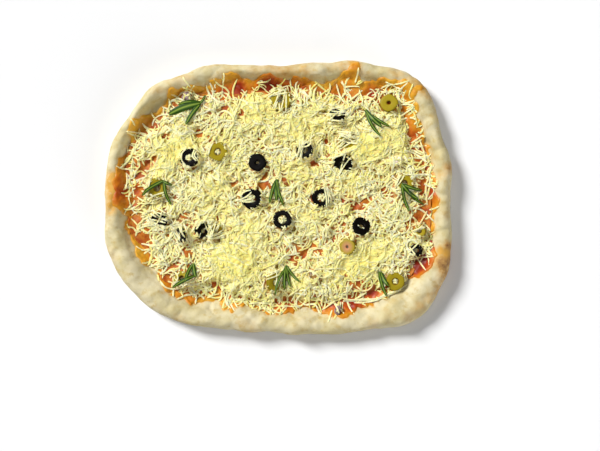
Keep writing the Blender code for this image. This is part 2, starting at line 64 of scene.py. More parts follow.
# The outlines, as in the part's source: (direction in degrees, height, half-width in degrees)
OUTLINE_POWER = 3.0
HALF_LENGTH, HALF_WIDTH = 150.0, 116.5
RIM_BULGES = (
    (45, 8.5, 13), (62, 3, 7), (20, -4, 8), (92, -3, 14), (128, -4, 7), (151, -8, 11), (218, -2.5, 12),
    (243, -3, 9), (292, 3, 12), (318, 10, 12), (336, 4, 7), (357, -3, 7),
)
RIM_RIPPLE = ((9, 0.5, 0.4), (14, 0.5, 2.9), (22, 0.35, 1.2))
CREST_RIPPLE = ((3, 0.5, 0.9), (7, 0.6, 2.2), (12, 0.4, 5.1))
HEAP_RIPPLE = ((11, 0.6, 1.0), (17, 0.7, 3.3), (24, 0.6, 0.4))
FIELD_HALF_LENGTH, FIELD_HALF_WIDTH = 132.5, 101.0
FIELD_BULGES = (
    (160, 2, 12), (108, 3, 10), (60, 4, 9), (43, 9, 12), (341, 3, 9), (252, -6, 12), (216, -9, 13),
)
SAUCE_BULGES = (
    (168, 7.8, 4), (153, 6.9, 4), (143, -4.5, 4), (134, 4.5, 4), (112, 7, 6), (95, 4.3, 5), (60, 15, 4),
    (48, 12, 5), (40, 17, 5), (33, 4, 4), (0, 2.5, 8), (340, 6, 5), (323, -4, 9), (298, 4.5, 5),
    (284, -6.5, 5), (254, -8, 7), (238, -9.5, 7), (226, -4, 5), (211, -12, 7), (198, -4, 4),
)
HEAP_HALF_LENGTH, HEAP_HALF_WIDTH = 131.0, 93.0
HEAP_BULGES = (
    (41, 9, 7), (22, -8, 7), (57, -4, 5), (75, 4, 8), (91, -5, 6), (115, -3, 5), (130, 4, 6), (150, -5, 6),
    (172, 4, 8), (203, -10, 8), (234, -14, 10), (322, 6, 6), (340, 5, 4),
)
FLOOR_HEIGHT, RIM_HEIGHT = 8.0, 19.0
RIM_SECTION = (
    (0.50, 0.0), (0.90, 0.0), (0.955, 0.11), (0.99, 0.30), (1.0, 0.52), (0.93, 0.78), (0.77, 0.94),
    (0.52, 1.0), (0.24, 0.88), (0.0, 0.64),
)
WIDEST, FILLET = 6, 12  # stations of the section: where the rim is widest, and the middle of its fillet
FILLET_WIDTH = 11.0
FILLET_MIDDLE = (5.0, 1.5)
SAUCE_THICKNESS = 1.6
HEAP_THICKNESS, HEAP_EDGE, HEAP_SHOULDER = 6.8, 3.0, 14.0
HEAP_RELIEF = (
    (-37, -56, 2.6, 24), (78, 44, 2.4, 26), (-76, 50, 1.6, 22), (18, 58, 1.8, 24), (-60, 0, 1.6, 22),
    (42, -58, 1.8, 22), (96, -20, 1.2, 20), (-108, -10, 1.0, 16), (0, 8, 1.2, 20),
    (68, -6, -3.4, 9), (24, -42, -3.2, 9), (39, 48, -2.8, 8), (-69, 54, -3.2, 8), (-115, 27, -3.0, 9),
    (-11, 18, -3.0, 7), (-70, -40, -2.4, 8),
)
HEAP_WAVES = ((0.45, 23.0, 15, 0.3), (0.45, 17.0, 75, 2.0), (0.4, 29.0, 130, 4.1), (0.3, 13.0, 105, 1.0))

# The photograph: the field's middle is seen at this pixel, and one pixel is this many millimetres
PHOTO_WIDTH, PHOTO_HEIGHT = 600, 451
PHOTO_MIDDLE = (279.0, 197.5)
PIXEL = 0.862

log = logging.getLogger("seafood_pizza")


# Small helpers


def linear(code: str) -> tuple[float, float, float, float]:
    """Turns an sRGB hex colour into a linear one.

    Args:
        code: The colour, such as "#e9dfb4".

    Returns:
        Red, green, blue and an alpha of one.
    """
    parts = [int(code[k : k + 2], 16) / 255.0 for k in (1, 3, 5)]
    red, green, blue = (c / 12.92 if c <= 0.04045 else ((c + 0.055) / 1.055) ** 2.4 for c in parts)
    return red, green, blue, 1.0


def at_pixel(column: float, row: float) -> tuple[float, float]:
    """Gives the plan position of a pixel of the photograph."""
    return (column - PHOTO_MIDDLE[0]) * PIXEL, (PHOTO_MIDDLE[1] - row) * PIXEL


def smooth(value: Array) -> Array:
    """Eases a value from 0 to 1: three times its square less twice its cube."""
    value = np.clip(value, 0.0, 1.0)
    return value * value * (3.0 - 2.0 * value)


def billow(points: Array, size: float, seed: int, waves: int = 16) -> Array:
    """Gives soft, even noise: a sum of plane waves in random directions, each of about one wavelength.

    Args:
        points: Positions, with X, Y and Z along the last axis.
        size: The wavelength.
        seed: Which draw of waves to use.
        waves: How many waves are added.

    Returns:
        One number a point, with a spread of about one.
    """
    draw = np.random.default_rng(seed)
    direction = draw.normal(size=(waves, 3))
    direction /= np.linalg.norm(direction, axis=1, keepdims=True)
    pitch = 2.0 * math.pi / (size * draw.uniform(0.7, 1.5, waves))
    phase = draw.uniform(0.0, 2.0 * math.pi, waves)
    total = np.zeros(points.shape[:-1])
    for k in range(waves):
        total += np.sin(points @ (direction[k] * pitch[k]) + phase[k])
    return total * math.sqrt(2.0 / waves)


def flat_billow(x: Array, y: Array, size: float, seed: int) -> Array:
    """Gives the noise of billow over a level plan."""
    return billow(np.stack([x, y, np.zeros_like(x)], axis=-1), size, seed)


def patches(x: Array, y: Array, table: tuple[tuple[float, ...], ...]) -> Array:
    """Adds up round, soft patches, each (pixel column, pixel row, strength, radius)."""
    total = np.zeros_like(x)
    for column, row, strength, radius in table:
        centre_x, centre_y = at_pixel(column, row)
        total += strength * np.exp(-((x - centre_x) ** 2 + (y - centre_y) ** 2) / radius**2)
    return total


def unit(vectors: Array) -> Array:
    """Scales vectors, which lie along the last axis, to a length of one."""
    return vectors / (np.linalg.norm(vectors, axis=-1, keepdims=True) + 1e-9)


def headed(angle: float) -> tuple[Array, Array]:
    """Gives the direction at an angle in radians, and the one to its left."""
    ahead = np.array([math.cos(angle), math.sin(angle)])
    return ahead, np.array([-ahead[1], ahead[0]])


def around(count: int) -> Array:
    """Gives evenly spaced angles of a full turn."""
    return np.linspace(0.0, 2.0 * math.pi, count, endpoint=False)


def skin_normals(skin: Array) -> Array:
    """Gives the outward direction at each point of a skin whose columns close on themselves."""
    along = np.roll(skin, -1, axis=0) - np.roll(skin, 1, axis=0)
    return unit(np.cross(along, np.gradient(skin, axis=1)))


def node(tree: Tree, kind: str, links: dict | None = None, **settings) -> bpy.types.Node:
    """Adds a node with its settings and links.

    Args:
        tree: The node tree of a material.
        kind: The node's type.
        links: What feeds each input: another node's output, or a plain value.
        settings: The node's own properties.

    Returns:
        The node.
    """
    made = tree.nodes.new(kind)
    for name, value in settings.items():
        setattr(made, name, value)
    for name, value in (links or {}).items():
        if isinstance(value, Socket):
            tree.links.new(value, made.inputs[name])
        else:
            made.inputs[name].default_value = value
    return made


# Finishes


@dataclass(frozen=True)
class Finish:
    """What every finish has: a name, a roughness, an index of refraction, a gloss and a glow from inside.

    Its relief is a noise: the size of a lump, how many finer layers, how strong those are, and its depth.
    """

    name: str
    roughness: float
    index: float
    gloss: float = 0.5
    glow: float = 0.0
    relief: tuple[float, ...] = ()

    GLOW_COLOUR = (1.0, 0.8, 0.45)
    GLOW_DEPTH = 2.0

    def colour(self, tree: Tree) -> Socket | str:
        """Gives the surface's colour: an output, or an sRGB colour that is the same all over."""
        raise NotImplementedError

    def make(self) -> bpy.types.Material:
        """Builds the material: the shader's own values, its colour and its relief."""
        material = bpy.data.materials.new(self.name)
        material.use_nodes = True
        tree = material.node_tree
        shader = tree.nodes["Principled BSDF"]
        values = {"Roughness": self.roughness, "IOR": self.index, "Specular IOR Level": self.gloss}
        if self.glow > 0.0:
            values["Subsurface Weight"] = self.glow
            values["Subsurface Radius"] = self.GLOW_COLOUR
            values["Subsurface Scale"] = self.GLOW_DEPTH * MM
        for name, value in values.items():
            shader.inputs[name].default_value = value
        colour = self.colour(tree)
        if isinstance(colour, str):
            shader.inputs["Base Color"].default_value = linear(colour)
        else:
            tree.links.new(colour, shader.inputs["Base Color"])
        if self.relief:
            *shape, depth = self.relief
            links = {"Height": self.noise(tree, *shape), "Distance": depth * MM, "Strength": 1.0}
            tree.links.new(node(tree, "ShaderNodeBump", links).outputs["Normal"], shader.inputs["Normal"])
        return material

    def noise(self, tree: Tree, size: float, detail: float = 2.0, rough: float = 0.5) -> Socket:
        """Gives a noise's value, with lumps of about the given size.

        Args:
            tree: The material's node tree.
            size: The size of a lump in millimetres.
            detail: How many finer layers are added.
            rough: How strong those are.

        Returns:
            The noise's output, round 0.5.
        """
        place = node(tree, "ShaderNodeTexCoord")
        links = {"Vector": place.outputs["Object"], "Scale": 0.6 / (size * MM), "Detail": detail}
        links["Roughness"] = rough
        return node(tree, "ShaderNodeTexNoise", links).outputs["Fac"]

    def ramp(self, tree: Tree, factor: Socket, stops: tuple[tuple[float, str], ...]) -> Socket:
        """Turns a value into a colour.

        Args:
            tree: The material's node tree.
            factor: The output that is read.
            stops: Each (place, sRGB colour).

        Returns:
            The colour output.
        """
        made = node(tree, "ShaderNodeValToRGB", {"Fac": factor})
        elements = made.color_ramp.elements
        while len(elements) < len(stops):
            elements.new(0.5)
        for element, (place, code) in zip(elements, stops):
            element.position = place
            element.color = linear(code)
        return made.outputs["Color"]

    def blend(self, tree: Tree, factor: Socket, first: Socket | str, second: Socket | str) -> Socket:
        """Mixes two colours, each an output or an sRGB colour, and gives the colour output."""
        first, second = (linear(colour) if isinstance(colour, str) else colour for colour in (first, second))
        return node(tree, "ShaderNodeMix", {0: factor, 6: first, 7: second}, data_type="RGBA").outputs[2]

    def combine(self, tree: Tree, operation: str, first: Socket, second: Socket) -> Socket:
        """Adds, subtracts or multiplies two values."""
        return node(tree, "ShaderNodeMath", {0: first, 1: second}, operation=operation).outputs[0]

    def attribute(self, tree: Tree, name: str) -> Socket:
        """Reads a number that a piece carries at each vertex."""
        return node(tree, "ShaderNodeAttribute", attribute_name=name).outputs["Fac"]

    def remap(self, tree: Tree, value: Socket, low: float, high: float) -> Socket:
        """Stretches a value so that low becomes 0 and high becomes 1."""
        links = {"Value": value, "From Min": low, "From Max": high}
        return node(tree, "ShaderNodeMapRange", links, clamp=True).outputs["Result"]


@dataclass(frozen=True)
class BakedDough(Finish):
    """Wheat dough, stretched by hand, floured and lightly baked: dry, pale and matt with tan blisters."""

    name: str = "baked_dough"
    roughness: float = 0.72
    index: float = 1.45
    relief: tuple[float, ...] = (1.6, 4.0, 0.6, 0.35)
    pale: str = "#cec39d"
    cream: str = "#bdb080"
    freckle: str = "#b39a5a"
    tan: str = "#b98f4e"
    brown: str = "#7a5026"
    oil: str = "#c4933a"

    def colour(self, tree: Tree) -> Socket:
        """Mixes the colour, with browning and oil read from the piece; on the back rim the browning is partly
        painted shade.
        """
        cloud = self.remap(tree, self.noise(tree, 13.0, 4.0, 0.6), 0.4, 0.62)
        colour = self.blend(tree, cloud, self.pale, self.cream)
        freckles = self.remap(tree, self.noise(tree, 3.2, 4.0, 0.62), 0.52, 0.78)
        colour = self.blend(tree, freckles, colour, self.freckle)
        speck = self.noise(tree, 2.2, 3.0, 0.6)
        # the browning read here holds real baking and, on the back rim, painted shade
        browning_and_shade = self.combine(tree, "MULTIPLY", self.attribute(tree, "bake_and_shade"), speck)
        colour = self.blend(tree, self.remap(tree, browning_and_shade, 0.08, 0.62), colour, self.tan)
        colour = self.blend(tree, self.remap(tree, browning_and_shade, 0.5, 1.1), colour, self.brown)
        oil = self.combine(tree, "MULTIPLY", self.attribute(tree, "oil"), speck)
        return self.blend(tree, self.remap(tree, oil, 0.06, 0.55), colour, self.oil)


@dataclass(frozen=True)
class CookedSauce(Finish):
    """Tomato sauce cooked down with olive oil: orange where thin, deep red where thick, and wet."""

    name: str = "cooked_tomato_sauce"
    roughness: float = 0.4
    index: float = 1.42
    gloss: float = 0.3
    relief: tuple[float, ...] = (2.4, 3.0, 0.6, 0.35)
    golden: str = "#d5a030"
    thin: str = "#c4831e"
    orange: str = "#b96315"
    red: str = "#9b3411"
    dark: str = "#761f08"

    def colour(self, tree: Tree) -> Socket:
        """Mixes the colour, with the thickness read from the piece; thinned, golden sauce on the back and
        left slopes is partly painted light.
        """
        total = self.combine(tree, "ADD", self.noise(tree, 5.5, 4.0, 0.62), self.attribute(tree, "depth"))
        colours = (self.golden, self.thin, self.orange, self.red, self.dark)
        stops = tuple(zip((0.12, 0.34, 0.58, 0.82, 1.0), colours))
        return self.ramp(tree, self.remap(tree, total, 0.0, 1.6), stops)


@dataclass(frozen=True)
class CheeseBed(Finish):
    """The packed, half-melted cheese under the shreds, soaked with sauce here and there."""

    name: str = "packed_cheese"
    roughness: float = 0.5
    index: float = 1.45
    gloss: float = 0.2
    glow: float = 0.5
    relief: tuple[float, ...] = (2.0, 3.0, 0.6, 0.3)
    cream: str = "#ecdd9a"
    yellow: str = "#f0e07c"
    # olive and umber colour the hollows between the shreds: partly sauce-soaked cheese, partly painted shade
    olive: str = "#8c7022"
    umber: str = "#9c5c28"
    orange: str = "#b97428"
    red: str = "#a04817"

    def colour(self, tree: Tree) -> Socket:
        """Mixes the colour, with the sauce's windows read from the piece; the dark olive hollows between the
        shreds are partly sauce-soaked cheese and partly painted shade.
        """
        mound = self.attribute(tree, "mound")
        packed = self.blend(tree, self.remap(tree, mound, 0.02, 0.2), self.cream, self.yellow)
        shaded_hollow = self.blend(tree, self.remap(tree, self.noise(tree, 7.0), 0.42, 0.58), self.olive, self.umber)
        shaded_hollow = self.blend(tree, self.remap(tree, mound, 0.02, 0.1), shaded_hollow, self.olive)
        # the dark hollows show where this noise is high, outside the mounds: painted shade between the
        # shreds, partly sauce
        gap = self.combine(tree, "SUBTRACT", self.noise(tree, 2.6, 3.0, 0.6), mound)
        colour = self.blend(tree, self.remap(tree, gap, 0.41, 0.54), packed, shaded_hollow)
        redness = self.remap(tree, self.noise(tree, 4.0, 3.0, 0.6), 0.4, 0.62)
        stain = self.blend(tree, redness, self.orange, self.red)
        mottle = self.combine(tree, "ADD", self.attribute(tree, "soak"), self.noise(tree, 5.0, 3.0, 0.6))
        return self.blend(tree, self.remap(tree, mottle, 0.8, 1.02), colour, stain)


@dataclass(frozen=True)
class GratedCheese(Finish):
    """Semi-hard cheese, grated fine and warmed: waxy, cream to light yellow, lit through at the edges."""

    name: str = "grated_cheese_shreds"
    roughness: float = 0.42
    index: float = 1.45
    gloss: float = 0.2
    glow: float = 0.7
    relief: tuple[float, ...] = (1.2, 2.0, 0.5, 0.12)
    cream: str = "#f8edb8"
    yellow: str = "#f5e68e"
    deep: str = "#efdc74"
    stained: str = "#e0a560"

    def colour(self, tree: Tree) -> Socket:
        """Mixes the colour, with each shred's tone read from the piece."""
        stops = ((0.0, self.cream), (0.55, self.yellow), (1.0, self.deep))
        colour = self.ramp(tree, self.attribute(tree, "tone"), stops)
        return self.blend(tree, self.attribute(tree, "stain"), colour, self.stained)


class OliveKind(Enum):
    """The kinds of olive: skin, cut flesh, inside of the hole."""

    BLACK = ("#070504", "#0b0806", "#120d0a")
    GREEN = ("#7a6d10", "#98861c", "#80601a")
    PINK = ("#7a6d10", "#9c872c", "#b98560")


@dataclass(frozen=True)
class CuredOlive(Finish):
    """An olive cured in brine and sliced: smooth wet skin, slightly paler cut faces."""

    name: str = "cured_olive"
    roughness: float = 0.42
    index: float = 1.46
    gloss: float = 0.07
    relief: tuple[float, ...] = (1.1, 3.0, 0.5, 0.12)
    kind: OliveKind = OliveKind.BLACK

    def colour(self, tree: Tree) -> Socket:
        """Mixes the colour, with the distance from the skin read from the piece."""
        skin, flesh, hole = self.kind.value
        depth = self.attribute(tree, "depth")
        colour = self.blend(tree, self.remap(tree, depth, 0.02, 0.3), skin, flesh)
        start = 0.4 if self.kind is OliveKind.PINK else 0.66
        return self.blend(tree, self.remap(tree, depth, start, start + 0.3), colour, hole)


@dataclass(frozen=True)
class RosemaryLeaf(Finish):
    """A fresh rosemary needle: leathery dark green, paler along its rolled edges, and pale down its middle
    groove, which is partly a painted highlight.
    """

    name: str = "rosemary_needle"
    roughness: float = 0.45
    index: float = 1.45
    gloss: float = 0.25
    relief: tuple[float, ...] = (0.8, 2.0, 0.5, 0.08)
    dark: str = "#1a3506"
    green: str = "#3c5e0c"
    pale: str = "#8a9c3c"

    def colour(self, tree: Tree) -> Socket:
        """Mixes the colour, with the place across the needle read from the piece."""
        # pale down the middle: partly the groove's own colour, partly a painted highlight along the needle
        stops = ((0.0, self.pale), (0.3, self.green), (0.62, self.dark), (1.0, self.green))
        return self.ramp(tree, self.attribute(tree, "across"), stops)


class SeafoodKind(Enum):
    """The kinds of seafood that show: flesh, then skin."""

    OCTOPUS = ("#ab948c", "#5e4448")
    SQUID = ("#f1e7d8", "#c9b3a4")
    MUSSEL = ("#b98a46", "#5b4a2a")


@dataclass(frozen=True)
class BoiledSeafood(Finish):
    """Boiled octopus, squid or mussel: wet, soft and a little see-through, with a darker skin."""

    name: str = "boiled_seafood"
    roughness: float = 0.3
    index: float = 1.38
    relief: tuple[float, ...] = (1.4, 3.0, 0.6, 0.3)
    kind: SeafoodKind = SeafoodKind.SQUID

    def colour(self, tree: Tree) -> Socket:
        """Mixes the colour from a noise that is skin in places and flesh in others."""
        flesh, skin = self.kind.value
        share = self.remap(tree, self.noise(tree, 3.2, 3.0, 0.6), 0.38, 0.62)
        return self.blend(tree, share, flesh, skin)


@dataclass(frozen=True)
class WhiteTable(Finish):
    """A white matt studio surface."""

    name: str = "white_surface"
    roughness: float = 0.9
    index: float = 1.45
    gloss: float = 0.0
    white: str = "#e6e6e6"

    def colour(self, tree: Tree) -> str:
        """Gives the plain colour."""
        return self.white


# Meshes


def make_piece(
    name: str,
    points: Array,
    faces: Array,
    material: bpy.types.Material,
    numbers: dict[str, Array] | None = None,
    weld: bool = False,
    rounded: bool = True,
) -> bpy.types.Object:
    """Makes a mesh object from whole arrays.

    Its faces are turned outwards: where the volume that they enclose comes out below zero, all are reversed.

    Args:
        name: The piece's name.
        points: Vertices in millimetres, from the middle of the field.
        faces: Rows of four vertex numbers.
        material: The finish.
        numbers: Values that the finish reads, one a vertex.
        weld: Whether points at one place become one, which closes poles.
        rounded: Whether it is shaded smooth across its edges.

    Returns:
        The object, at the origin.
    """
    placed = (points.reshape(-1, 3) - MIDDLE) * MM
    corners = (placed - placed.mean(axis=0))[faces]
    volume = sum(
        np.einsum("ij,ij->", corners[:, 0], np.cross(corners[:, k], corners[:, k + 1])) for k in (1, 2)
    )
    faces = faces[:, ::-1] if volume < 0.0 else faces
    mesh = bpy.data.meshes.new(name)
    mesh.vertices.add(len(placed))
    mesh.vertices.foreach_set("co", placed.astype(np.float32).ravel())
    mesh.loops.add(faces.size)
    mesh.loops.foreach_set("vertex_index", faces.astype(np.int32).ravel())
    mesh.polygons.add(len(faces))
    mesh.polygons.foreach_set("loop_start", np.arange(0, faces.size, faces.shape[1], dtype=np.int32))
    mesh.update(calc_edges=True)
    for key, values in (numbers or {}).items():
        attribute = mesh.attributes.new(key, "FLOAT", "POINT")
        attribute.data.foreach_set("value", values.astype(np.float32).ravel())
    if weld:
        close_poles(mesh)
    mesh.validate()
    mesh.polygons.foreach_set("use_smooth", np.full(len(mesh.polygons), rounded))
    mesh.materials.append(material)
    piece = bpy.data.objects.new(name, mesh)
    bpy.context.scene.collection.objects.link(piece)
    return piece


def close_poles(mesh: bpy.types.Mesh) -> None:
    """Joins points that lie at one place and removes the edges that no face is left on."""
    work = bmesh.new()
    work.from_mesh(mesh)
    bmesh.ops.remove_doubles(work, verts=work.verts, dist=0.001 * MM)
    bmesh.ops.delete(work, geom=[edge for edge in work.edges if not edge.link_faces], context="EDGES")
    work.to_mesh(mesh)
    work.free()


def turned_faces(columns: int, rows: int) -> Array:
    """Gives the faces of a closed section carried round a full turn: both directions join up."""
    column, row = np.meshgrid(np.arange(columns), np.arange(rows), indexing="ij")
    beside, above = (column + 1) % columns, (row + 1) % rows
    corners = (column * rows + row, column * rows + above, beside * rows + above, beside * rows + row)
    return np.stack(corners, axis=-1).reshape(-1, 4)


def tube_faces(stops: int, sides: int) -> Array:
    """Gives the four-sided faces of an open tube, whose last side joins its first."""
    stop, side = np.meshgrid(np.arange(stops - 1), np.arange(sides), indexing="ij")
    here, beside = stop * sides + side, stop * sides + (side + 1) % sides
    return np.stack([here, beside, beside + sides, here + sides], axis=-1).reshape(-1, 4)


def curve_through(stations: Array, places: Array) -> Array:
    """Reads a smooth curve through stations.

    At each station the tangent halves the turn between its two neighbours, and on each stretch it is as long
    as the stretch, so that the curve doesn't swing past a station (a cubic Hermite curve).

    Args:
        stations: Points along the last axis but one.
        places: Where to read, counted in stations.

    Returns:
        The points at the places, in the same layout.
    """
    step = np.diff(stations, axis=-2)
    size = np.linalg.norm(step, axis=-1, keepdims=True) + 1e-9
    way = step / size
    between = way[..., :-1, :] + way[..., 1:, :]
    ahead = unit(np.concatenate([way[..., :1, :], between, way[..., -1:, :]], axis=-2))
    left = np.clip(np.floor(places).astype(int), 0, stations.shape[-2] - 2)
    t = (places - left)[:, None]
    here, after = stations[..., left, :], stations[..., left + 1, :]
    leave, arrive = ahead[..., left, :] * size[..., left, :], ahead[..., left + 1, :] * size[..., left, :]
    return (
        here * (1.0 - 3.0 * t**2 + 2.0 * t**3)
        + after * (3.0 * t**2 - 2.0 * t**3)
        + leave * (t - 2.0 * t**2 + t**3)
        + arrive * (t**3 - t**2)
    )


def tubes(lines: Array, wide: Array, thick: Array) -> tuple[Array, Array]:
    """Carries a four-cornered section along many lines at once, and closes both ends.

    The section is a strip with a flat top, a little narrower above, and it stays level across the line.

    Args:
        lines: Line points, as (lines, points, 3).
        wide: Full widths, as (lines, points).
        thick: Full thicknesses, as (lines, points).

    Returns:
        All the points, and all the faces.
    """
    across = np.array([0.38, -0.38, -0.5, 0.5])
    above = np.array([0.5, 0.5, -0.5, -0.5])
    sides = len(across)
    ahead = unit(np.gradient(lines, axis=1))
    side = unit(np.cross(ahead, np.array([0.0, 0.0, 1.0])))
    up = np.cross(side, ahead)
    ring = (
        lines[:, :, None, :]
        + side[:, :, None, :] * (wide[:, :, None, None] * across[None, None, :, None])
        + up[:, :, None, :] * (thick[:, :, None, None] * above[None, None, :, None])
    )
    count, stops = lines.shape[:2]
    start = (np.arange(count) * stops * sides)[:, None]
    faces = (tube_faces(stops, sides)[None] + start[..., None]).reshape(-1, 4)
    ends = np.arange(sides)
    last = ends + start + (stops - 1) * sides
    return ring.reshape(-1, 3), np.concatenate([faces, ends[::-1] + start, last])


# The plan of the pizza


@dataclass(frozen=True)
class Plan:
    """The pizza from above: how far each outline lies in each direction, and how high each layer is."""

    def superellipse(self, theta: Array, half_x: float, half_y: float) -> Array:
        """Radius of a superellipse: the sum of both shares to its power is one."""
        across = np.abs(np.cos(theta) / half_x) ** OUTLINE_POWER
        along = np.abs(np.sin(theta) / half_y) ** OUTLINE_POWER
        return (across + along) ** (-1.0 / OUTLINE_POWER)

    def bulged(self, theta: Array, table: tuple[tuple[float, ...], ...]) -> Array:
        """Sum of bell-shaped bulges round the outline."""
        total = np.zeros_like(theta)
        for direction, height, width in table:
            turn = (np.degrees(theta) - direction + 180.0) % 360.0 - 180.0
            total += height * np.exp(-((turn / width) ** 2))
        return total

    def ripple(self, theta: Array, table: tuple[tuple[float, ...], ...]) -> Array:
        """Sum of cosines that close on themselves."""
        return sum(height * np.cos(waves * theta + phase) for waves, height, phase in table)

    def rim(self, theta: Array) -> Array:
        """Radius of the crust's outer edge."""
        edge = self.superellipse(theta, HALF_LENGTH, HALF_WIDTH) + self.bulged(theta, RIM_BULGES)
        return edge + self.ripple(theta, RIM_RIPPLE)

    def field(self, theta: Array) -> Array:
        """Radius of the rim's inner foot."""
        base = self.superellipse(theta, FIELD_HALF_LENGTH, FIELD_HALF_WIDTH)
        return base + self.bulged(theta, FIELD_BULGES)

    def sauce(self, theta: Array) -> Array:
        """Radius of the sauce's edge, which climbs the rim in places."""
        base = self.superellipse(theta, FIELD_HALF_LENGTH, FIELD_HALF_WIDTH)
        return base + self.bulged(theta, SAUCE_BULGES)

    def heap(self, theta: Array) -> Array:
        """Radius of the heap of cheese."""
        edge = self.superellipse(theta, HEAP_HALF_LENGTH, HEAP_HALF_WIDTH) + self.bulged(theta, HEAP_BULGES)
        edge = edge + self.ripple(theta, HEAP_RIPPLE)
        return np.minimum(np.minimum(edge, self.field(theta) - 1.5), self.sauce(theta) - 1.0)

    def section(self, theta: Array) -> Array:
        """Stations of the crust's section, as (directions, stations, radius and height)."""
        foot, edge = self.field(theta), self.rim(theta)
        width = edge - foot
        crest = RIM_HEIGHT + self.ripple(theta, CREST_RIPPLE)
        inset, rise = FILLET_MIDDLE
        zero = np.zeros_like(theta)
        rows = [(zero, zero), (0.5 * foot, zero)]
        rows += [(foot + width * share, crest * height) for share, height in RIM_SECTION]
        rows += [(foot - inset, zero + FLOOR_HEIGHT + rise), (foot - FILLET_WIDTH, zero + FLOOR_HEIGHT)]
        rows += [(0.5 * foot, zero + FLOOR_HEIGHT), (zero, zero + FLOOR_HEIGHT)]
        return np.stack([np.stack(row, axis=-1) for row in rows], axis=-2)

    def crust_height(self, theta: Array, radius: Array) -> Array:
        """Height of the crust's upper face: straight lines between its stations, from the widest inwards."""
        stations = self.section(theta)[..., WIDEST:, :]
        height = stations[..., 0, 1]
        for k in range(stations.shape[-2] - 1):
            outer, inner = stations[..., k, :], stations[..., k + 1, :]
            share = np.clip((outer[..., 0] - radius) / (outer[..., 0] - inner[..., 0]), 0.0, 1.0)
            height = height + (inner[..., 1] - outer[..., 1]) * share
        return height

    def heap_height(self, x: Array, y: Array) -> Array:
        """Height of the heap's surface, as the solids have it."""
        theta, radius = np.arctan2(y, x), np.hypot(x, y)
        inside = smooth((self.heap(theta) - radius) / HEAP_SHOULDER)
        relief = np.zeros_like(x)
        for centre_x, centre_y, height, spread in HEAP_RELIEF:
            relief += height * np.exp(-((x - centre_x) ** 2 + (y - centre_y) ** 2) / spread**2)
        for height, length, direction, phase in HEAP_WAVES:
            turn = math.radians(direction)
            along = x * math.cos(turn) + y * math.sin(turn)
            relief += height * np.sin(2.0 * math.pi * along / length + phase)
        depth = HEAP_EDGE + (HEAP_THICKNESS - HEAP_EDGE) * inside + inside * relief
        return self.crust_height(theta, radius) + SAUCE_THICKNESS + depth


class Ground:
    """A height map of all that has been laid so far, on a fine level grid."""

    STEP = 0.5
    REACH = (166.0, 136.0)

    def __init__(self) -> None:
        """Lays out the grid."""
        self.columns = int(2 * self.REACH[0] / self.STEP) + 1
        self.rows = int(2 * self.REACH[1] / self.STEP) + 1
        along = np.linspace(-self.REACH[0], self.REACH[0], self.columns)
        across = np.linspace(-self.REACH[1], self.REACH[1], self.rows)
        self.x, self.y = np.meshgrid(along, across)
        self.height = np.zeros_like(self.x)
        self.closed = np.zeros(self.x.shape, bool)

    def cells(self, x: Array, y: Array) -> tuple[Array, Array]:
        """Gives the row and column of each place."""
        column = np.clip(((x + self.REACH[0]) / self.STEP + 0.5).astype(int), 0, self.columns - 1)
        row = np.clip(((y + self.REACH[1]) / self.STEP + 0.5).astype(int), 0, self.rows - 1)
        return row, column

    def at(self, x: Array, y: Array) -> Array:
        """Reads the height at each place."""
        return self.height[self.cells(x, y)]

    def softened(self, spread: float) -> Array:
        """Gives the height map averaged with bell-shaped weights of the given spread."""
        reach = int(3.0 * spread / self.STEP)
        steps = np.arange(-reach, reach + 1)
        weights = np.exp(-0.5 * (steps * self.STEP / spread) ** 2)
        weights /= weights.sum()
        soft = self.height
        for axis in (0, 1):
            soft = sum(weight * np.roll(soft, step, axis=axis) for step, weight in zip(steps, weights))
        return soft

    def top_up(self, x: Array, y: Array, z: Array) -> None:
        """Raises the map to the heights given."""
        row, column = self.cells(x, y)
        np.maximum.at(self.height, (row, column), z)

    def drape(self, skin: Array, parts: int = 3) -> None:
        """Raises the map to a skin of points in columns and rows, with more points put evenly in between.

        Args:
            skin: The points as (columns, rows, 3).
            parts: Into how many parts each gap is cut, both ways.
        """
        near, far = skin[:, :-1], skin[:, 1:]
        for down in np.arange(parts) / parts:
            row = near + (far - near) * down
            for along in np.arange(parts) / parts:
                spot = row + (np.roll(row, -1, axis=0) - row) * along
                self.top_up(spot[..., 0], spot[..., 1], spot[..., 2])


# The crust and the sauce


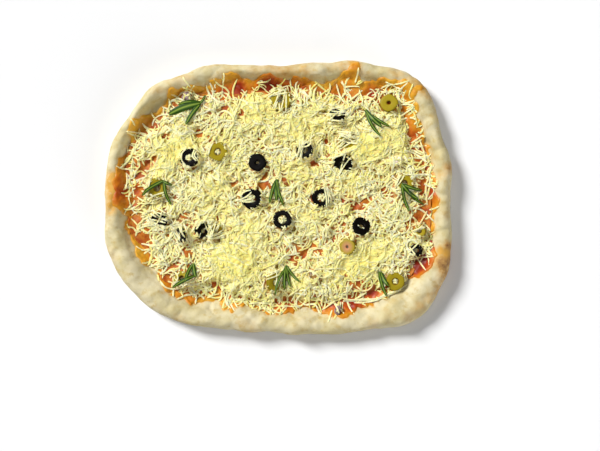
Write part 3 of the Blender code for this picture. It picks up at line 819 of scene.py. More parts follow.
@dataclass
class Crust:
    """The crust: a flat underside, a swollen uneven rim and the floor that the sauce lies on."""

    plan: Plan
    columns: int = 860
    rim_rows: int = 78
    coarse_rows: int = 7
    lump: float = 0.9
    dimple: float = 0.5
    fold: float = 0.9
    grain: float = 0.08
    sideways: float = 0.4

    LUMP_SIZE, DIMPLE_SIZE, FOLD_SIZE, GRAIN_SIZE = 34.0, 13.0, 26.0, 5.0
    SPOT_SIZE, FLECK_SIZE = 24.0, 9.0
    STILL_HEIGHT, STILL_RADIUS = 4.0, 40.0  # the noise grows from nothing over these

    def surface(self) -> tuple[Array, Array]:
        """Works out the crust's skin.

        The section of each direction is a smooth curve through its stations. Each point then moves along its
        normal, less so sideways, by soft noise of four sizes, which fades to nothing on the underside.

        Returns:
            The points as (columns, rows, 3), and the place of each row in stations.
        """
        theta = around(self.columns)
        stretches = ((1.0, 3.0, self.coarse_rows), (3.0, 12.0, self.rim_rows), (12.0, 13.0, self.coarse_rows))
        middle = [np.linspace(*stretch, endpoint=False) for stretch in stretches]
        places = np.concatenate([[0.0, 0.6], *middle, [13.0, 13.5, 14.0, 15.0]])
        section = curve_through(self.plan.section(theta), places)
        radius, height = section[..., 0], np.maximum(section[..., 1], 0.0)
        points = np.stack([radius * np.cos(theta)[:, None], radius * np.sin(theta)[:, None], height], axis=-1)
        normal = skin_normals(points)
        shift = self.lump * billow(points, self.LUMP_SIZE, 3)
        shift = shift + self.dimple * billow(points, self.DIMPLE_SIZE, 4)
        shift = shift + self.fold * (np.minimum(np.abs(billow(points, self.FOLD_SIZE, 6)), 1.0) - 0.65)
        shift = shift + self.grain * billow(points, self.GRAIN_SIZE, 5)
        weight = smooth(height / self.STILL_HEIGHT) * smooth((radius - self.STILL_RADIUS) / self.STILL_RADIUS)
        stretch = np.array([self.sideways, self.sideways, 1.0])
        points = points + normal * stretch * (shift * weight)[..., None]
        points[..., 2] = np.maximum(points[..., 2], 0.0)
        return points, places

    def browning_and_back_shade(self, points: Array) -> Array:
        """Gives how brown each point is: named spots, the crest of the back rim and a soft noise; the browner
        back crest is partly real baking and partly painted shade.
        """
        x, y, z = points[..., 0], points[..., 1], points[..., 2]
        spots = patches(x, y, BROWNING_AND_SHADE_SPOTS)
        noise = 0.5 + 0.5 * billow(points, self.SPOT_SIZE, 8) + 0.25 * billow(points, self.FLECK_SIZE, 9)
        # the back rim's crest is made browner: partly real baking, partly painted shade of the back rim
        back = smooth((y - 80.0) / 30.0) * smooth((z - 10.0) / 8.0)
        return np.clip(spots + 0.16 * noise + 0.3 * back * np.clip(noise, 0.0, 2.0), 0.0, 1.6)

    def build(self, sauce_field: Array, material: bpy.types.Material, points: Array) -> bpy.types.Object:
        """Makes the crust's piece.

        Args:
            sauce_field: How far inside the sauce's edge each point lies, in millimetres.
            material: The dough.
            points: The skin.

        Returns:
            The piece.
        """
        oil = 0.7 * smooth((sauce_field + 3.0) / 3.5)
        oil = np.maximum(oil, patches(points[..., 0], points[..., 1], OIL_SPOTS))
        faces = turned_faces(self.columns, points.shape[1])
        # these numbers carry real browning and painted shade on the back rim
        numbers = {"bake_and_shade": self.browning_and_back_shade(points), "oil": oil}
        return make_piece("crust_dough", points, faces, material, numbers, weld=True)


# Places of the photograph, each (pixel column, pixel row, strength, radius in millimetres)
# brown spots: real browning along the right and front edges; those along the back rim and at the upper left
# are partly painted shade
BROWNING_AND_SHADE_SPOTS = (
    (448, 168, 1.3, 4.5), (448, 247, 1.7, 5), (449, 258, 1.5, 6), (443, 266, 1.1, 7), (446, 276, 0.9, 6),
    (438, 262, 0.8, 6), (440, 287, 0.6, 6), (431, 297, 0.7, 6), (420, 307, 0.6, 6), (408, 316, 0.6, 6),
    (388, 316, 0.5, 6), (372, 322, 0.4, 7), (445, 216, 0.35, 7), (449, 190, 0.3, 6), (330, 66, 0.35, 14),
    (270, 67, 0.5, 14), (300, 68, 0.4, 12), (215, 69, 0.2, 14), (158, 90, 0.2, 8), (150, 98, 0.1, 7),
    (138, 110, 0.25, 5), (170, 82, 0.1, 6), (120, 140, 0.15, 8), (108, 220, 0.3, 8), (112, 250, 0.25, 9),
    (422, 76, 0.4, 8), (438, 110, 0.35, 8), (442, 140, 0.3, 7), (300, 325, 0.3, 9), (250, 331, 0.3, 9),
    (180, 318, 0.3, 9),
)
OIL_SPOTS = (
    (114, 176, 0.9, 6), (112, 186, 1, 8), (116, 198, 1, 8), (112, 209, 0.8, 6), (356, 68, 0.9, 6),
    (352, 64, 0.8, 4), (421, 88, 1, 6), (430, 96, 0.6, 6), (413, 80, 0.6, 7), (395, 74, 0.5, 8),
    (300, 70, 0.5, 12), (230, 72, 0.3, 12), (440, 175, 0.5, 6), (440, 251, 1.3, 4), (447, 253, 1.3, 4),
)
SPILLS = (
    (115, 182, 9, 9), (118, 200, 9, 9), (112, 208, 4, 5), (356, 66, 9, 5), (421, 88, 8, 5), (404, 84, 5, 7),
    (436, 205, 3, 8), (300, 76, 3, 10), (426, 267, 8, 8), (418, 274, 5, 6),
)
# Above zero the sauce is deeper red. Below zero it is thinner and golden, and on the back and left inner
# slopes, which face away from the key light, that lightening is partly painted light.
RED_SAUCE_AND_PAINTED_LIGHT = (
    (122, 192, 0.6, 6), (119, 180, 0.5, 5), (113, 196, 0.3, 6), (141, 240, -0.22, 9), (144, 256, -0.25, 9),
    (140, 122, -0.35, 10), (131, 134, -0.3, 9), (155, 108, -0.3, 10), (176, 98, -0.3, 10),
    (215, 80, -0.3, 14), (192, 88, -0.3, 9), (326, 84, -0.3, 9), (222, 92, 0.45, 7), (238, 93, 0.55, 6),
    (238, 84, 0.5, 4), (262, 84, 0.55, 6), (272, 82, 0.6, 7), (286, 82, 0.55, 6), (268, 93, 0.6, 6),
    (300, 80, 0.2, 7), (374, 94, 0.45, 5), (345, 80, -0.3, 10), (362, 84, -0.25, 8), (392, 86, -0.3, 10),
    (408, 96, -0.3, 9), (416, 112, -0.35, 9), (424, 126, -0.3, 7), (418, 134, 0.6, 4), (431, 152, -0.25, 6),
    (424, 150, 0.6, 4), (434, 190, 0.7, 5), (428, 200, 0.6, 6), (420, 210, 0.8, 6), (431, 240, 0.7, 6),
    (428, 228, -0.2, 7), (422, 262, 1, 8), (414, 270, 0.8, 6), (432, 246, 0.6, 4), (343, 294, 0.6, 6),
    (372, 292, 0.6, 7), (350, 306, 0.7, 5), (360, 307, 0.6, 5), (336, 309, 0.35, 6), (320, 306, 0.35, 6),
    (190, 290, 0.05, 6), (176, 286, 0.1, 6), (215, 298, -0.2, 9), (240, 300, -0.12, 7), (275, 311, 0.2, 6),
    (288, 309, 0.3, 5),
)


@dataclass
class Sauce:
    """The tomato sauce: the crust's own skin, raised where there is sauce and sunk where there is none."""

    plan: Plan
    thickness: float = 0.9
    edge_width: float = 1.4
    sunk: float = 0.5
    ripple: float = 0.18
    depth: float = 0.42
    deep_at: float = 12.0

    LIP = 0.6  # how far outside its edge the sauce starts to rise
    RAGGED = ((1.0, 12.0, 21), (0.6, 4.5, 22))  # height, size and seed of the edge's noise
    RIPPLE_SIZE = 4.5

    def inside(self, points: Array) -> Array:
        """Gives how far inside the sauce's edge each point lies.

        It is the plan's radius less the point's own, with ragged noise of two sizes and the spills added.

        Args:
            points: Positions with X, Y and Z along the last axis.

        Returns:
            A distance, below zero outside the sauce.
        """
        x, y = points[..., 0], points[..., 1]
        theta, radius = np.arctan2(y, x), np.hypot(x, y)
        ragged = sum(height * flat_billow(x, y, size, seed) for height, size, seed in self.RAGGED)
        return self.plan.sauce(theta) - radius + ragged + patches(x, y, SPILLS)

    def build(self, material: bpy.types.Material, skin: tuple[Array, Array]) -> bpy.types.Object:
        """Makes the sauce's piece from the upper part of the crust's skin.

        Args:
            material: The sauce.
            skin: What Crust.surface gives.

        Returns:
            The piece.
        """
        points, places = skin
        top = points[:, places >= WIDEST]
        inside = self.inside(top)
        share = smooth((inside + self.LIP) / self.edge_width)
        thick = -self.sunk + (self.thickness + self.sunk) * share
        thick = thick + self.ripple * share * flat_billow(top[..., 0], top[..., 1], self.RIPPLE_SIZE, 23)
        normal = skin_normals(top)
        upper = top + normal * thick[..., None]
        lower = top - normal * SAUCE_THICKNESS
        loop = np.concatenate([upper, lower[:, ::-4]], axis=1)
        faces = turned_faces(len(loop), loop.shape[1])
        # depth holds the sauce's thickness and, on the back and left slopes, painted light
        depth = self.depth * smooth(inside / self.deep_at) + patches(top[..., 0], top[..., 1], RED_SAUCE_AND_PAINTED_LIGHT)
        depth = np.concatenate([depth, np.zeros((len(loop), loop.shape[1] - depth.shape[1]))], axis=1)
        return make_piece("tomato_sauce_layer", loop, faces, material, {"depth": depth}, weld=True)


# The cheese


# Where sauce shows, where the bed is specked, where cheese is heaped, and where stray shreds lie on the sauce
WINDOWS = (
    (166, 137, 0.9, 4), (199, 134, 1, 4), (210, 141, 1, 3.2), (226, 108, 0.8, 3.2), (236, 97, 0.7, 3.5),
    (147, 164, 0.95, 3.2), (141, 171, 0.95, 3), (127, 151, 1, 3.5), (155, 160, 0.7, 4), (139, 192, 0.9, 4),
    (357, 205, 1, 5), (366, 201, 0.9, 4), (345, 200, 0.8, 5), (384, 190, 0.8, 5), (343, 224, 0.8, 4),
    (188, 250, 0.9, 4), (173, 266, 0.9, 4), (265, 175, 1.1, 3.8), (263, 186, 1, 4), (275, 190, 0.8, 5),
    (304, 253, 1.1, 4.2), (312, 245, 1, 3.6), (293, 257, 0.9, 3.2), (320, 250, 0.8, 3.6),
    (328, 142, 1, 3.8), (311, 198, 1, 3.6), (234, 184.5, 1.1, 2.8), (241.5, 112.5, 1.1, 3.4),
    (260, 139.5, 1.1, 2.8), (143, 240, 1, 6), (139, 256, 0.9, 5), (140, 128, 0.9, 7), (284, 179, 0.8, 3),
    (292, 182, 0.8, 3), (313, 164, 0.9, 2.8), (319, 164, 0.9, 2.8), (374, 227, 0.5, 4), (415, 222, 0.9, 5),
    (422, 215, 0.9, 5), (340, 235, 0.8, 3.5), (332, 238, 0.8, 3), (372, 290, 1, 6), (357, 285, 1, 4.5),
    (423, 190, 0.9, 5.5), (425, 206, 0.9, 6), (168, 279, 0.9, 5.5), (421, 262, 0.95, 7), (418, 136, 0.9, 4),
    (424, 150, 0.9, 4), (268, 283, 0.7, 4), (346, 276, 0.4, 5), (205, 226, 0.5, 3), (217, 219, 0.9, 3),
    (185, 215, 0.7, 4), (132, 180, 0.4, 16), (138, 225, 0.35, 14), (426, 165, 0.35, 14),
    (420, 235, 0.35, 14), (176, 281, 0.3, 9), (330, 300, 0.35, 12), (222, 102, 0.12, 12),
    (378, 100, 0.4, 10),
)
SPECKS = (
    (318, 245, 0.42, 22), (362, 205, 0.42, 14), (140, 135, 0.4, 18), (205, 108, 0.35, 18),
    (262, 182, 0.35, 14), (132, 172, 0.42, 18), (185, 258, 0.35, 20), (298, 262, 0.35, 16),
    (392, 190, 0.35, 15), (415, 225, 0.42, 18), (342, 105, 0.3, 12), (350, 290, 0.4, 20),
    (212, 140, 0.35, 8), (160, 225, 0.3, 18), (138, 245, 0.42, 16), (180, 280, 0.4, 18),
    (378, 100, 0.4, 12),
)
MOUNDS = (
    (365, 145, 1, 16), (236, 262, 1, 22), (190, 145, 0.7, 14), (165, 150, 0.6, 14), (300, 130, 0.7, 16),
    (398, 120, 0.5, 14), (255, 110, 0.7, 18), (300, 168, 0.5, 14), (230, 150, 0.5, 14), (340, 265, 0.6, 18),
    (385, 245, 0.5, 14), (160, 170, 0.5, 12), (350, 182, 0.6, 12), (210, 215, 0.4, 14), (330, 115, 0.5, 14),
    (250, 225, 0.5, 14), (398, 142, 0.5, 12), (305, 215, 0.5, 12), (215, 185, 0.6, 14), (365, 262, 0.7, 14),
    (300, 285, 0.5, 12),
)
FRINGE = (
    (404, 110, 1, 9), (407, 126, 1, 8), (414, 143, 1, 8), (421, 158, 1, 8), (426, 178, 0.6, 8),
    (424, 215, 0.7, 9), (205, 286, 1, 9), (225, 290, 1, 9), (245, 294, 1, 9), (284, 299, 1, 9),
    (265, 296, 1, 9), (345, 96, 0.6, 8), (395, 92, 0.6, 8), (130, 150, 0.7, 9), (228, 96, 0.7, 7),
)


@dataclass
class CheeseBedLayer:
    """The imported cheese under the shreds: a low mound from the sauce up."""

    plan: Plan
    drop: float = 2.8
    columns: int = 480
    rows: int = 130
    soak: float = 0.66

    SHOULDER, SKIRT = 9.0, 0.6
    LUMP, LUMP_SIZE = 0.5, 7.0
    HEAPED, DIPPED = 1.1, 0.9  # rise of a mound and depth of a window, in millimetres
    STAIN_WIDTH = 13.0

    def top(self, x: Array, y: Array) -> Array:
        """Height of the mound: the heap's own surface, lowered, with lumps and with dips at the windows."""
        theta, radius = np.arctan2(y, x), np.hypot(x, y)
        inside = smooth((self.plan.heap(theta) - radius) / self.SHOULDER)
        floor = self.plan.crust_height(theta, radius) + SAUCE_THICKNESS
        full = self.plan.heap_height(x, y) - self.drop + self.LUMP * flat_billow(x, y, self.LUMP_SIZE, 31)
        full = full + self.HEAPED * patches(x, y, MOUNDS) - self.DIPPED * patches(x, y, WINDOWS)
        return floor - self.SKIRT + (np.maximum(full, floor - 0.4) - floor + self.SKIRT) * inside

    def build(self, ground: Ground, filled: Array, material: bpy.types.Material) -> bpy.types.Object:
        """Makes the mound's piece: rings of points from the edge in, and an underside sunk in the sauce.

        Args:
            ground: The height map.
            filled: How high the cheese is packed, on the map's grid.
            material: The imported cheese.

        Returns:
            The piece.
        """
        theta = around(self.columns)[:, None]
        share = np.linspace(1.0, 0.0, self.rows)[None, :] ** 0.8
        radius = self.plan.heap(theta) * share
        x, y = radius * np.cos(theta), radius * np.sin(theta)
        top = np.stack([x, y, np.maximum(self.top(x, y), filled[ground.cells(x, y)])], axis=-1)
        under = top[:, ::-1] * 1.0
        under[..., 2] = self.plan.crust_height(theta, radius)[:, ::-1] + 0.2
        loop = np.concatenate([top, under], axis=1)
        faces = turned_faces(self.columns, loop.shape[1])
        x, y = loop[..., 0], loop[..., 1]
        edge = smooth(1.0 - (self.plan.heap(theta) - np.hypot(x, y)) / self.STAIN_WIDTH)
        soak = patches(x, y, WINDOWS) + patches(x, y, SPECKS) - 0.3 * patches(x, y, MOUNDS) + self.soak * edge
        mound = 0.22 * patches(x, y, MOUNDS)
        numbers = {"soak": np.clip(soak, -0.3, 1.0), "mound": np.clip(mound, 0.0, 0.4)}
        return make_piece("grated_cheese_bed", loop, faces, material, numbers, weld=True)


@dataclass
class Shreds:
    """Grated cheese: thousands of short bent strips, each laid on what was there before it."""

    plan: Plan
    ground: Ground
    seed: int = 7
    points: int = 31
    sections: int = 11
    width: tuple[float, float] = (1.15, 1.7)
    thickness: tuple[float, float] = (0.45, 0.75)
    clear: float = 0.6
    shy: float = 0.7

    REACH = (160.0, 125.0)
    FEELERS = (-0.36, 0.0, 0.36)  # where a shred feels the ground, in its widths
    TOP_PLACES = (-0.5, -0.25, 0.0, 0.25, 0.5)
    TOP_HEIGHTS = (0.4, 1.0, 1.0, 1.0, 0.4)  # at those places, in its half-thickness
    EDGE_WIDTH, EDGE_WAVE = 11.0, 2.0
    BAND, BAND_WIDTH = (0.1, 0.75), 6.0  # chance of a shred outside the heap: everywhere, and at the fringe
    RIDE = 0.2  # share of the highest ground under a shred in the height that it rests on
    END_DROP = 0.25
    SHORTEST_RUN = 6

    def __post_init__(self) -> None:
        """Starts the random draw, the shares of a shred's length and the empty list of what has been laid."""
        self.draw = np.random.default_rng(self.seed)
        self.share = np.linspace(-0.5, 0.5, self.points)[:, None]
        self.laid: list[tuple[Array, float, float, float, float]] = []

    def density(self, x: Array, y: Array) -> Array:
        """Gives how likely a shred is to lie at each place, from 0 to 1."""
        theta, radius = np.arctan2(y, x), np.hypot(x, y)
        edge = self.plan.heap(theta) + self.EDGE_WAVE * flat_billow(x, y, 12.0, 41)
        inside = smooth((edge - radius) / self.EDGE_WIDTH + 0.3)
        stray = self.BAND[0] + self.BAND[1] * patches(x, y, FRINGE)
        band = stray * smooth((self.plan.sauce(theta) - radius + 2.0) / self.BAND_WIDTH)
        chance = np.maximum(inside * (0.8 + 0.4 * patches(x, y, MOUNDS)), band)
        return np.clip(chance * (1.0 - 0.9 * patches(x, y, WINDOWS)), 0.02 * (band > 0), 1.0)

    def lines(self, count: int, shortest: float, longest: float, curl: float) -> Array:
        """Draws the middle lines of many shreds.

        The heading along each is a start, plus a steady curl, plus one slow wave. The line is its sum.

        Args:
            count: How many places are tried.
            shortest: Least length.
            longest: Greatest length.
            curl: How much the heading turns over the whole length, in radians.

        Returns:
            The lines as (shreds, points, 2).
        """
        x, y = (self.draw.uniform(-reach, reach, count) for reach in self.REACH)
        kept = self.draw.uniform(size=count) < self.density(x, y)
        x, y = x[kept], y[kept]
        count = len(x)
        length = shortest + (longest - shortest) * self.draw.beta(1.6, 2.6, count)
        along = self.share.T
        heading = self.draw.uniform(0.0, 2.0 * math.pi, count)[:, None]
        bend = self.draw.normal(0.0, curl, count)[:, None] * along
        wave = self.draw.normal(0.0, 0.35 * curl, count)[:, None]
        wave = wave * np.sin(2.0 * math.pi * (along + self.draw.uniform(size=count)[:, None]))
        heading = heading + bend + wave
        step = (length / (self.points - 1))[:, None]
        line_x = np.cumsum(np.cos(heading) * step, axis=1)
        line_y = np.cumsum(np.sin(heading) * step, axis=1)
        line_x += x[:, None] - line_x.mean(axis=1, keepdims=True)
        line_y += y[:, None] - line_y.mean(axis=1, keepdims=True)
        return np.stack([line_x, line_y], axis=-1)

    def clear_run(self, line: Array, windows: bool = False) -> Array | None:
        """Cuts a line back to its longest stretch that is clear of closed places.

        Args:
            line: The line's points.
            windows: Whether the windows are closed to it too.

        Returns:
            The stretch, with as many points as before, or None if it is too short.
        """
        closed = self.ground.closed[self.ground.cells(line[:, 0], line[:, 1])]
        if windows:
            closed |= patches(line[:, 0], line[:, 1], WINDOWS) > self.clear
        if not closed.any():
            return line
        marks = np.flatnonzero(np.diff(np.concatenate([[1], closed.astype(int), [1]])))
        starts, stops = marks[::2], marks[1::2]
        if len(starts) == 0:
            return None
        best = int(np.argmax(stops - starts))
        first, last = starts[best], stops[best] - 1
        if last - first < self.SHORTEST_RUN:
            return None
        places = np.linspace(first, last, self.points)
        index = np.arange(self.points)
        return np.stack([np.interp(places, index, line[:, axis]) for axis in (0, 1)], axis=-1)

    def lay(
        self, line: Array, width: float, thick: float, tone: float, stiff: int = 4, lift: float = 0.0
    ) -> None:
        """Lays one shred on the ground and raises the ground by it.

        Each point starts between the mean and the highest ground under it. Neighbours are then averaged again
        and again, and no point may sink below its start, so that the shred bridges hollows as a strip does.

        Args:
            line: The shred's points from above.
            width: Its width.
            thick: Its thickness.
            tone: How yellow it is.
            stiff: How often neighbours are averaged.
            lift: How much higher it lies.
        """
        ahead = unit(np.gradient(line, axis=0))
        side = np.stack([-ahead[:, 1], ahead[:, 0]], axis=-1)
        offsets = np.array(self.FEELERS) * width
        spread = line[:, None, :] + side[:, None, :] * offsets[None, :, None]
        under = self.ground.at(spread[..., 0], spread[..., 1])
        rest = self.RIDE * under.max(axis=1) + (1.0 - self.RIDE) * under.mean(axis=1) + 0.2 * thick + lift
        z = rest.copy()
        for _ in range(stiff):
            middle = 0.25 * (z[:-2] + 2.0 * z[1:-1] + z[2:])
            z[1:-1] = np.maximum(rest[1:-1], middle)
            z[0] = max(rest[0], z[1] - self.END_DROP)
            z[-1] = max(rest[-1], z[-2] - self.END_DROP)
        fine = np.linspace(0.0, len(line) - 1.0, 2 * len(line))
        index = np.arange(len(line))
        px, py, pz = (np.interp(fine, index, values) for values in (line[:, 0], line[:, 1], z))
        sx, sy = np.interp(fine, index, side[:, 0]), np.interp(fine, index, side[:, 1])
        reach = np.array(self.TOP_PLACES) * width
        top = pz[:, None] + 0.5 * thick * np.array(self.TOP_HEIGHTS)[None, :]
        self.ground.top_up(px[:, None] + sx[:, None] * reach, py[:, None] + sy[:, None] * reach, top)
        stain = float(np.clip(0.55 * patches(line[:, 0], line[:, 1], WINDOWS).mean() - 0.1, 0.0, 0.5))
        self.laid.append((np.concatenate([line, z[:, None]], axis=1), width, thick, tone, stain))

    def scatter(
        self, count: int, shortest: float, longest: float, curl: float, tone: tuple[float, float]
    ) -> None:
        """Lays many shreds at random.

        Args:
            count: How many places are tried.
            shortest: Least length.
            longest: Greatest length.
            curl: How bent they are.
            tone: The middle and the spread of their tone.
        """
        lines = self.lines(count, shortest, longest, curl)
        wide = self.draw.uniform(*self.width, len(lines))
        thick = self.draw.uniform(*self.thickness, len(lines))
        tones = self.draw.normal(*tone, len(lines))
        shy = self.draw.uniform(size=len(lines)) < self.shy
        tones = tones + 0.45 * patches(*lines.mean(axis=1).T, MOUNDS)
        for k in range(len(lines)):
            line = self.clear_run(lines[k], shy[k])
            if line is not None:
                self.lay(line, wide[k], thick[k], float(np.clip(tones[k], 0.0, 1.0)))

    def build(self, name: str, material: bpy.types.Material) -> bpy.types.Object:
        """Makes one piece of all that has been laid since the last, and empties the list."""
        lines = np.stack([row[0] for row in self.laid])
        pick = np.round(np.linspace(0, self.points - 1, self.sections)).astype(int)
        lines = lines[:, pick]
        wide = np.array([row[1] for row in self.laid])[:, None]
        thick = np.array([row[2] for row in self.laid])[:, None]
        taper = np.array([0.55] + [1.0] * (self.sections - 2) + [0.55])[None, :]
        uneven = 1.0 + 0.12 * self.draw.normal(size=(len(lines), self.sections))
        points, faces = tubes(lines, wide * taper * uneven, thick * taper)
        tone, stain = (np.repeat(np.array([row[k] for row in self.laid]), self.sections * 4) for k in (3, 4))
        self.laid = []
        return make_piece(name, points, faces, material, {"tone": tone, "stain": stain}, rounded=False)


# Toppings


@dataclass
class Seat:
    """Where a solid lies: its middle, its own axes and its reach along them."""

    middle: Array
    axes: Array
    reach: Array

    @classmethod
    def of(cls, solid: bpy.types.Object) -> "Seat":
        """Reads a solid's seat from its points, with the thinnest axis last and pointing up."""
        mesh = solid.data
        points = np.zeros(len(mesh.vertices) * 3)
        mesh.vertices.foreach_get("co", points)
        points = np.unique(points.reshape(-1, 3).round(7), axis=0) / MM + MIDDLE
        middle = points.mean(axis=0)
        values, vectors = np.linalg.eigh(np.cov((points - middle).T))
        axes = vectors[:, ::-1].T
        if axes[2, 2] < 0.0:
            axes[2] = -axes[2]
        axes[1] = np.cross(axes[2], axes[0])
        reach = np.abs((points - middle) @ axes.T).max(axis=0)
        return cls(middle, axes, reach)


@dataclass
class OliveRing:
    """One slice of a pitted olive."""

    name: str
    seat: Seat
    hole: float
    number: int
    turns: int = 56
    uneven: float = 0.022

    SECTION = (
        (1.0, -0.55, 0.0), (1.0, 0.0, 0.0), (1.0, 0.55, 0.0), (0.965, 0.86, 0.05), (0.9, 1.0, 0.22),
        (0.6, 0.96, 0.5), (0.25, 0.98, 0.62), (0.08, 0.9, 0.75), (0.0, 0.6, 1.0), (0.0, 0.0, 1.0),
        (0.0, -0.6, 1.0), (0.08, -0.9, 0.75), (0.3, -1.0, 0.62), (0.9, -1.0, 0.22), (0.965, -0.86, 0.05),
    )

    def build(self, material: bpy.types.Material) -> bpy.types.Object:
        """Turns a rounded section round the slice's axis, with a slightly uneven outline."""
        draw = np.random.default_rng(100 + self.number)
        turn = around(self.turns)[:, None]
        section = np.array(self.SECTION)[None]
        outer = self.seat.reach[0]
        wobble = sum(
            draw.normal(0.0, self.uneven) * np.cos(k * turn + draw.uniform(0.0, 6.3)) for k in (2, 3, 4, 5)
        )
        squash = 1.0 + draw.uniform(-0.1, 0.1) * np.cos(2.0 * (turn - draw.uniform(0.0, 6.3)))
        inner = self.hole * outer * squash
        radius = inner + (outer * (1.0 + wobble) - inner) * section[..., 0]
        half = self.seat.reach[2] * (1.0 + 0.06 * np.cos(turn + draw.uniform(0.0, 6.3)))
        flat = np.stack([radius * np.cos(turn), radius * np.sin(turn), half * section[..., 1]], axis=-1)
        points = flat @ self.seat.axes + self.seat.middle
        depth = np.repeat(section[..., 2], self.turns, axis=0)
        faces = turned_faces(self.turns, section.shape[1])
        return make_piece(self.name + "_slice", points, faces, material, {"depth": depth})

    def footprint(self, ground: Ground, grow: float) -> tuple[Array, Array]:
        """Gives the cells under the slice and its height there.

        Args:
            ground: The height map.
            grow: How much wider the footprint is than the slice.

        Returns:
            A mask of cells, and the height of the slice's upper face over each.
        """
        normal, centre = self.seat.axes[2], self.seat.middle
        dx, dy = ground.x - centre[0], ground.y - centre[1]
        dz = -(dx * normal[0] + dy * normal[1]) / max(normal[2], 0.25)
        lean = np.sqrt(dx * dx + dy * dy + dz * dz)
        return lean < self.seat.reach[0] + grow, centre[2] + dz + self.seat.reach[2]

    def hole_mask(self, ground: Ground) -> Array:
        """Gives the cells that lie in the slice's hole."""
        mask, _ = self.footprint(ground, -self.seat.reach[0] * (1.0 - self.hole) - 0.3)
        return mask


@dataclass(frozen=True)
class Dressing:
    """How a slice lies in the cheese.

    Its fields are the hole as a share of the radius, how far cheese may lap over its edge in millimetres, how
    many shreds lie in the hole, the groups of shreds laid over it and its kind. Each group is a direction in
    degrees, a shift to its left, a shift along it and a length, all in radii, and how many shreds it has.
    """

    hole: float
    lap: float
    filling: int
    groups: tuple[tuple[float, float, float, float, int], ...] = ()
    kind: OliveKind = OliveKind.BLACK


BLACK_SLICES = (
    Dressing(0.42, 1.2, 4),
    Dressing(0.18, 0.4, 0),
    Dressing(0.4, 1.4, 2, ((71, 0.42, 0.0, 2.3, 4), (25, 0.6, 0.55, 1.2, 2))),
    Dressing(0.3, 1.5, 1, ((60, 0.0, 0.0, 2.4, 1), (58, -0.4, -0.2, 2.0, 1), (20, 0.85, 0.1, 2.0, 2))),
    Dressing(0.46, 1.0, 6, ((5, -0.05, -0.75, 1.5, 3), (40, 0.6, -0.2, 1.0, 2))),
    Dressing(0.5, 1.0, 6, ((95, -0.63, 0.0, 2.0, 3),)),
    Dressing(0.5, 0.5, 6, ((95, 0.1, -0.95, 0.5, 2),)),
    Dressing(0.28, 0.5, 0, ((150, 0.05, 0.0, 0.7, 1),)),
    Dressing(0.36, 1.4, 1, ((55, -0.25, -0.1, 1.6, 1), (60, 0.9, 0.0, 1.8, 2), (120, -0.9, 0, 1.8, 2))),
    Dressing(0.42, 1.5, 1, ((152, 0.55, 0.0, 2.4, 4), (150, -0.65, 0.0, 2.4, 4), (60, 0.1, 0.0, 1.4, 1))),
    Dressing(0.4, 1.5, 0, ((113, 0.5, 0.0, 2.4, 4), (113, -0.45, 0.0, 2.4, 4))),
    Dressing(0.46, 0.8, 2, ((50, 0.6, 0.0, 2.2, 1),)),
    Dressing(0.4, 1.4, 1, ((8, 0.35, 0.0, 2.4, 4), (172, 0.85, 0.0, 2.2, 2), (50, 0.1, -0.4, 1.4, 1))),
)
GREEN_SLICES = (
    Dressing(0.34, 0.9, 4, ((75, 0.9, 0.0, 1.5, 2),), OliveKind.GREEN),
    Dressing(0.2, 0.4, 0, (), OliveKind.GREEN),
    Dressing(0.34, 1.4, 1, ((12, -0.9, 0.0, 2.0, 2), (70, 0.9, 0.0, 1.6, 2)), OliveKind.GREEN),
    Dressing(0.34, 1.3, 1, ((60, 0.75, -0.2, 1.6, 2), (5, -0.9, 0.0, 2.0, 2)), OliveKind.GREEN),
    Dressing(0.16, 0.6, 1, (), OliveKind.PINK),
    Dressing(0.34, 1.5, 4, ((80, -0.35, 0.0, 2.2, 3), (15, 0.85, 0.1, 1.6, 3)), OliveKind.GREEN),
    Dressing(0.34, 0.8, 4, ((35, -0.95, 0.1, 1.6, 1),), OliveKind.GREEN),
    Dressing(0.34, 1.5, 2, ((25, -0.7, 0.0, 2.2, 3), (150, 0.6, 0.1, 1.6, 2)), OliveKind.GREEN),
    Dressing(0.36, 1.5, 3, ((80, 0.0, 0.0, 2.2, 5), (20, 0.7, 0.0, 2.0, 3)), OliveKind.GREEN),
    Dressing(0.36, 1.5, 2, ((30, 0.2, 0.0, 2.4, 5), (165, -0.5, 0.0, 2.2, 5)), OliveKind.GREEN),
    Dressing(0.36, 1.5, 2, ((60, 0.3, 0.0, 2.4, 4), (10, -0.5, 0.0, 2.2, 4)), OliveKind.GREEN),
    Dressing(0.36, 1.5, 2, ((20, 0.4, 0.0, 2.2, 3),), OliveKind.GREEN),
)
SLICES = {
    f"{kind}_olive_{number:02d}": dressing
    for kind, dressings in (("black", BLACK_SLICES), ("green", GREEN_SLICES))
    for number, dressing in enumerate(dressings, 1)
}

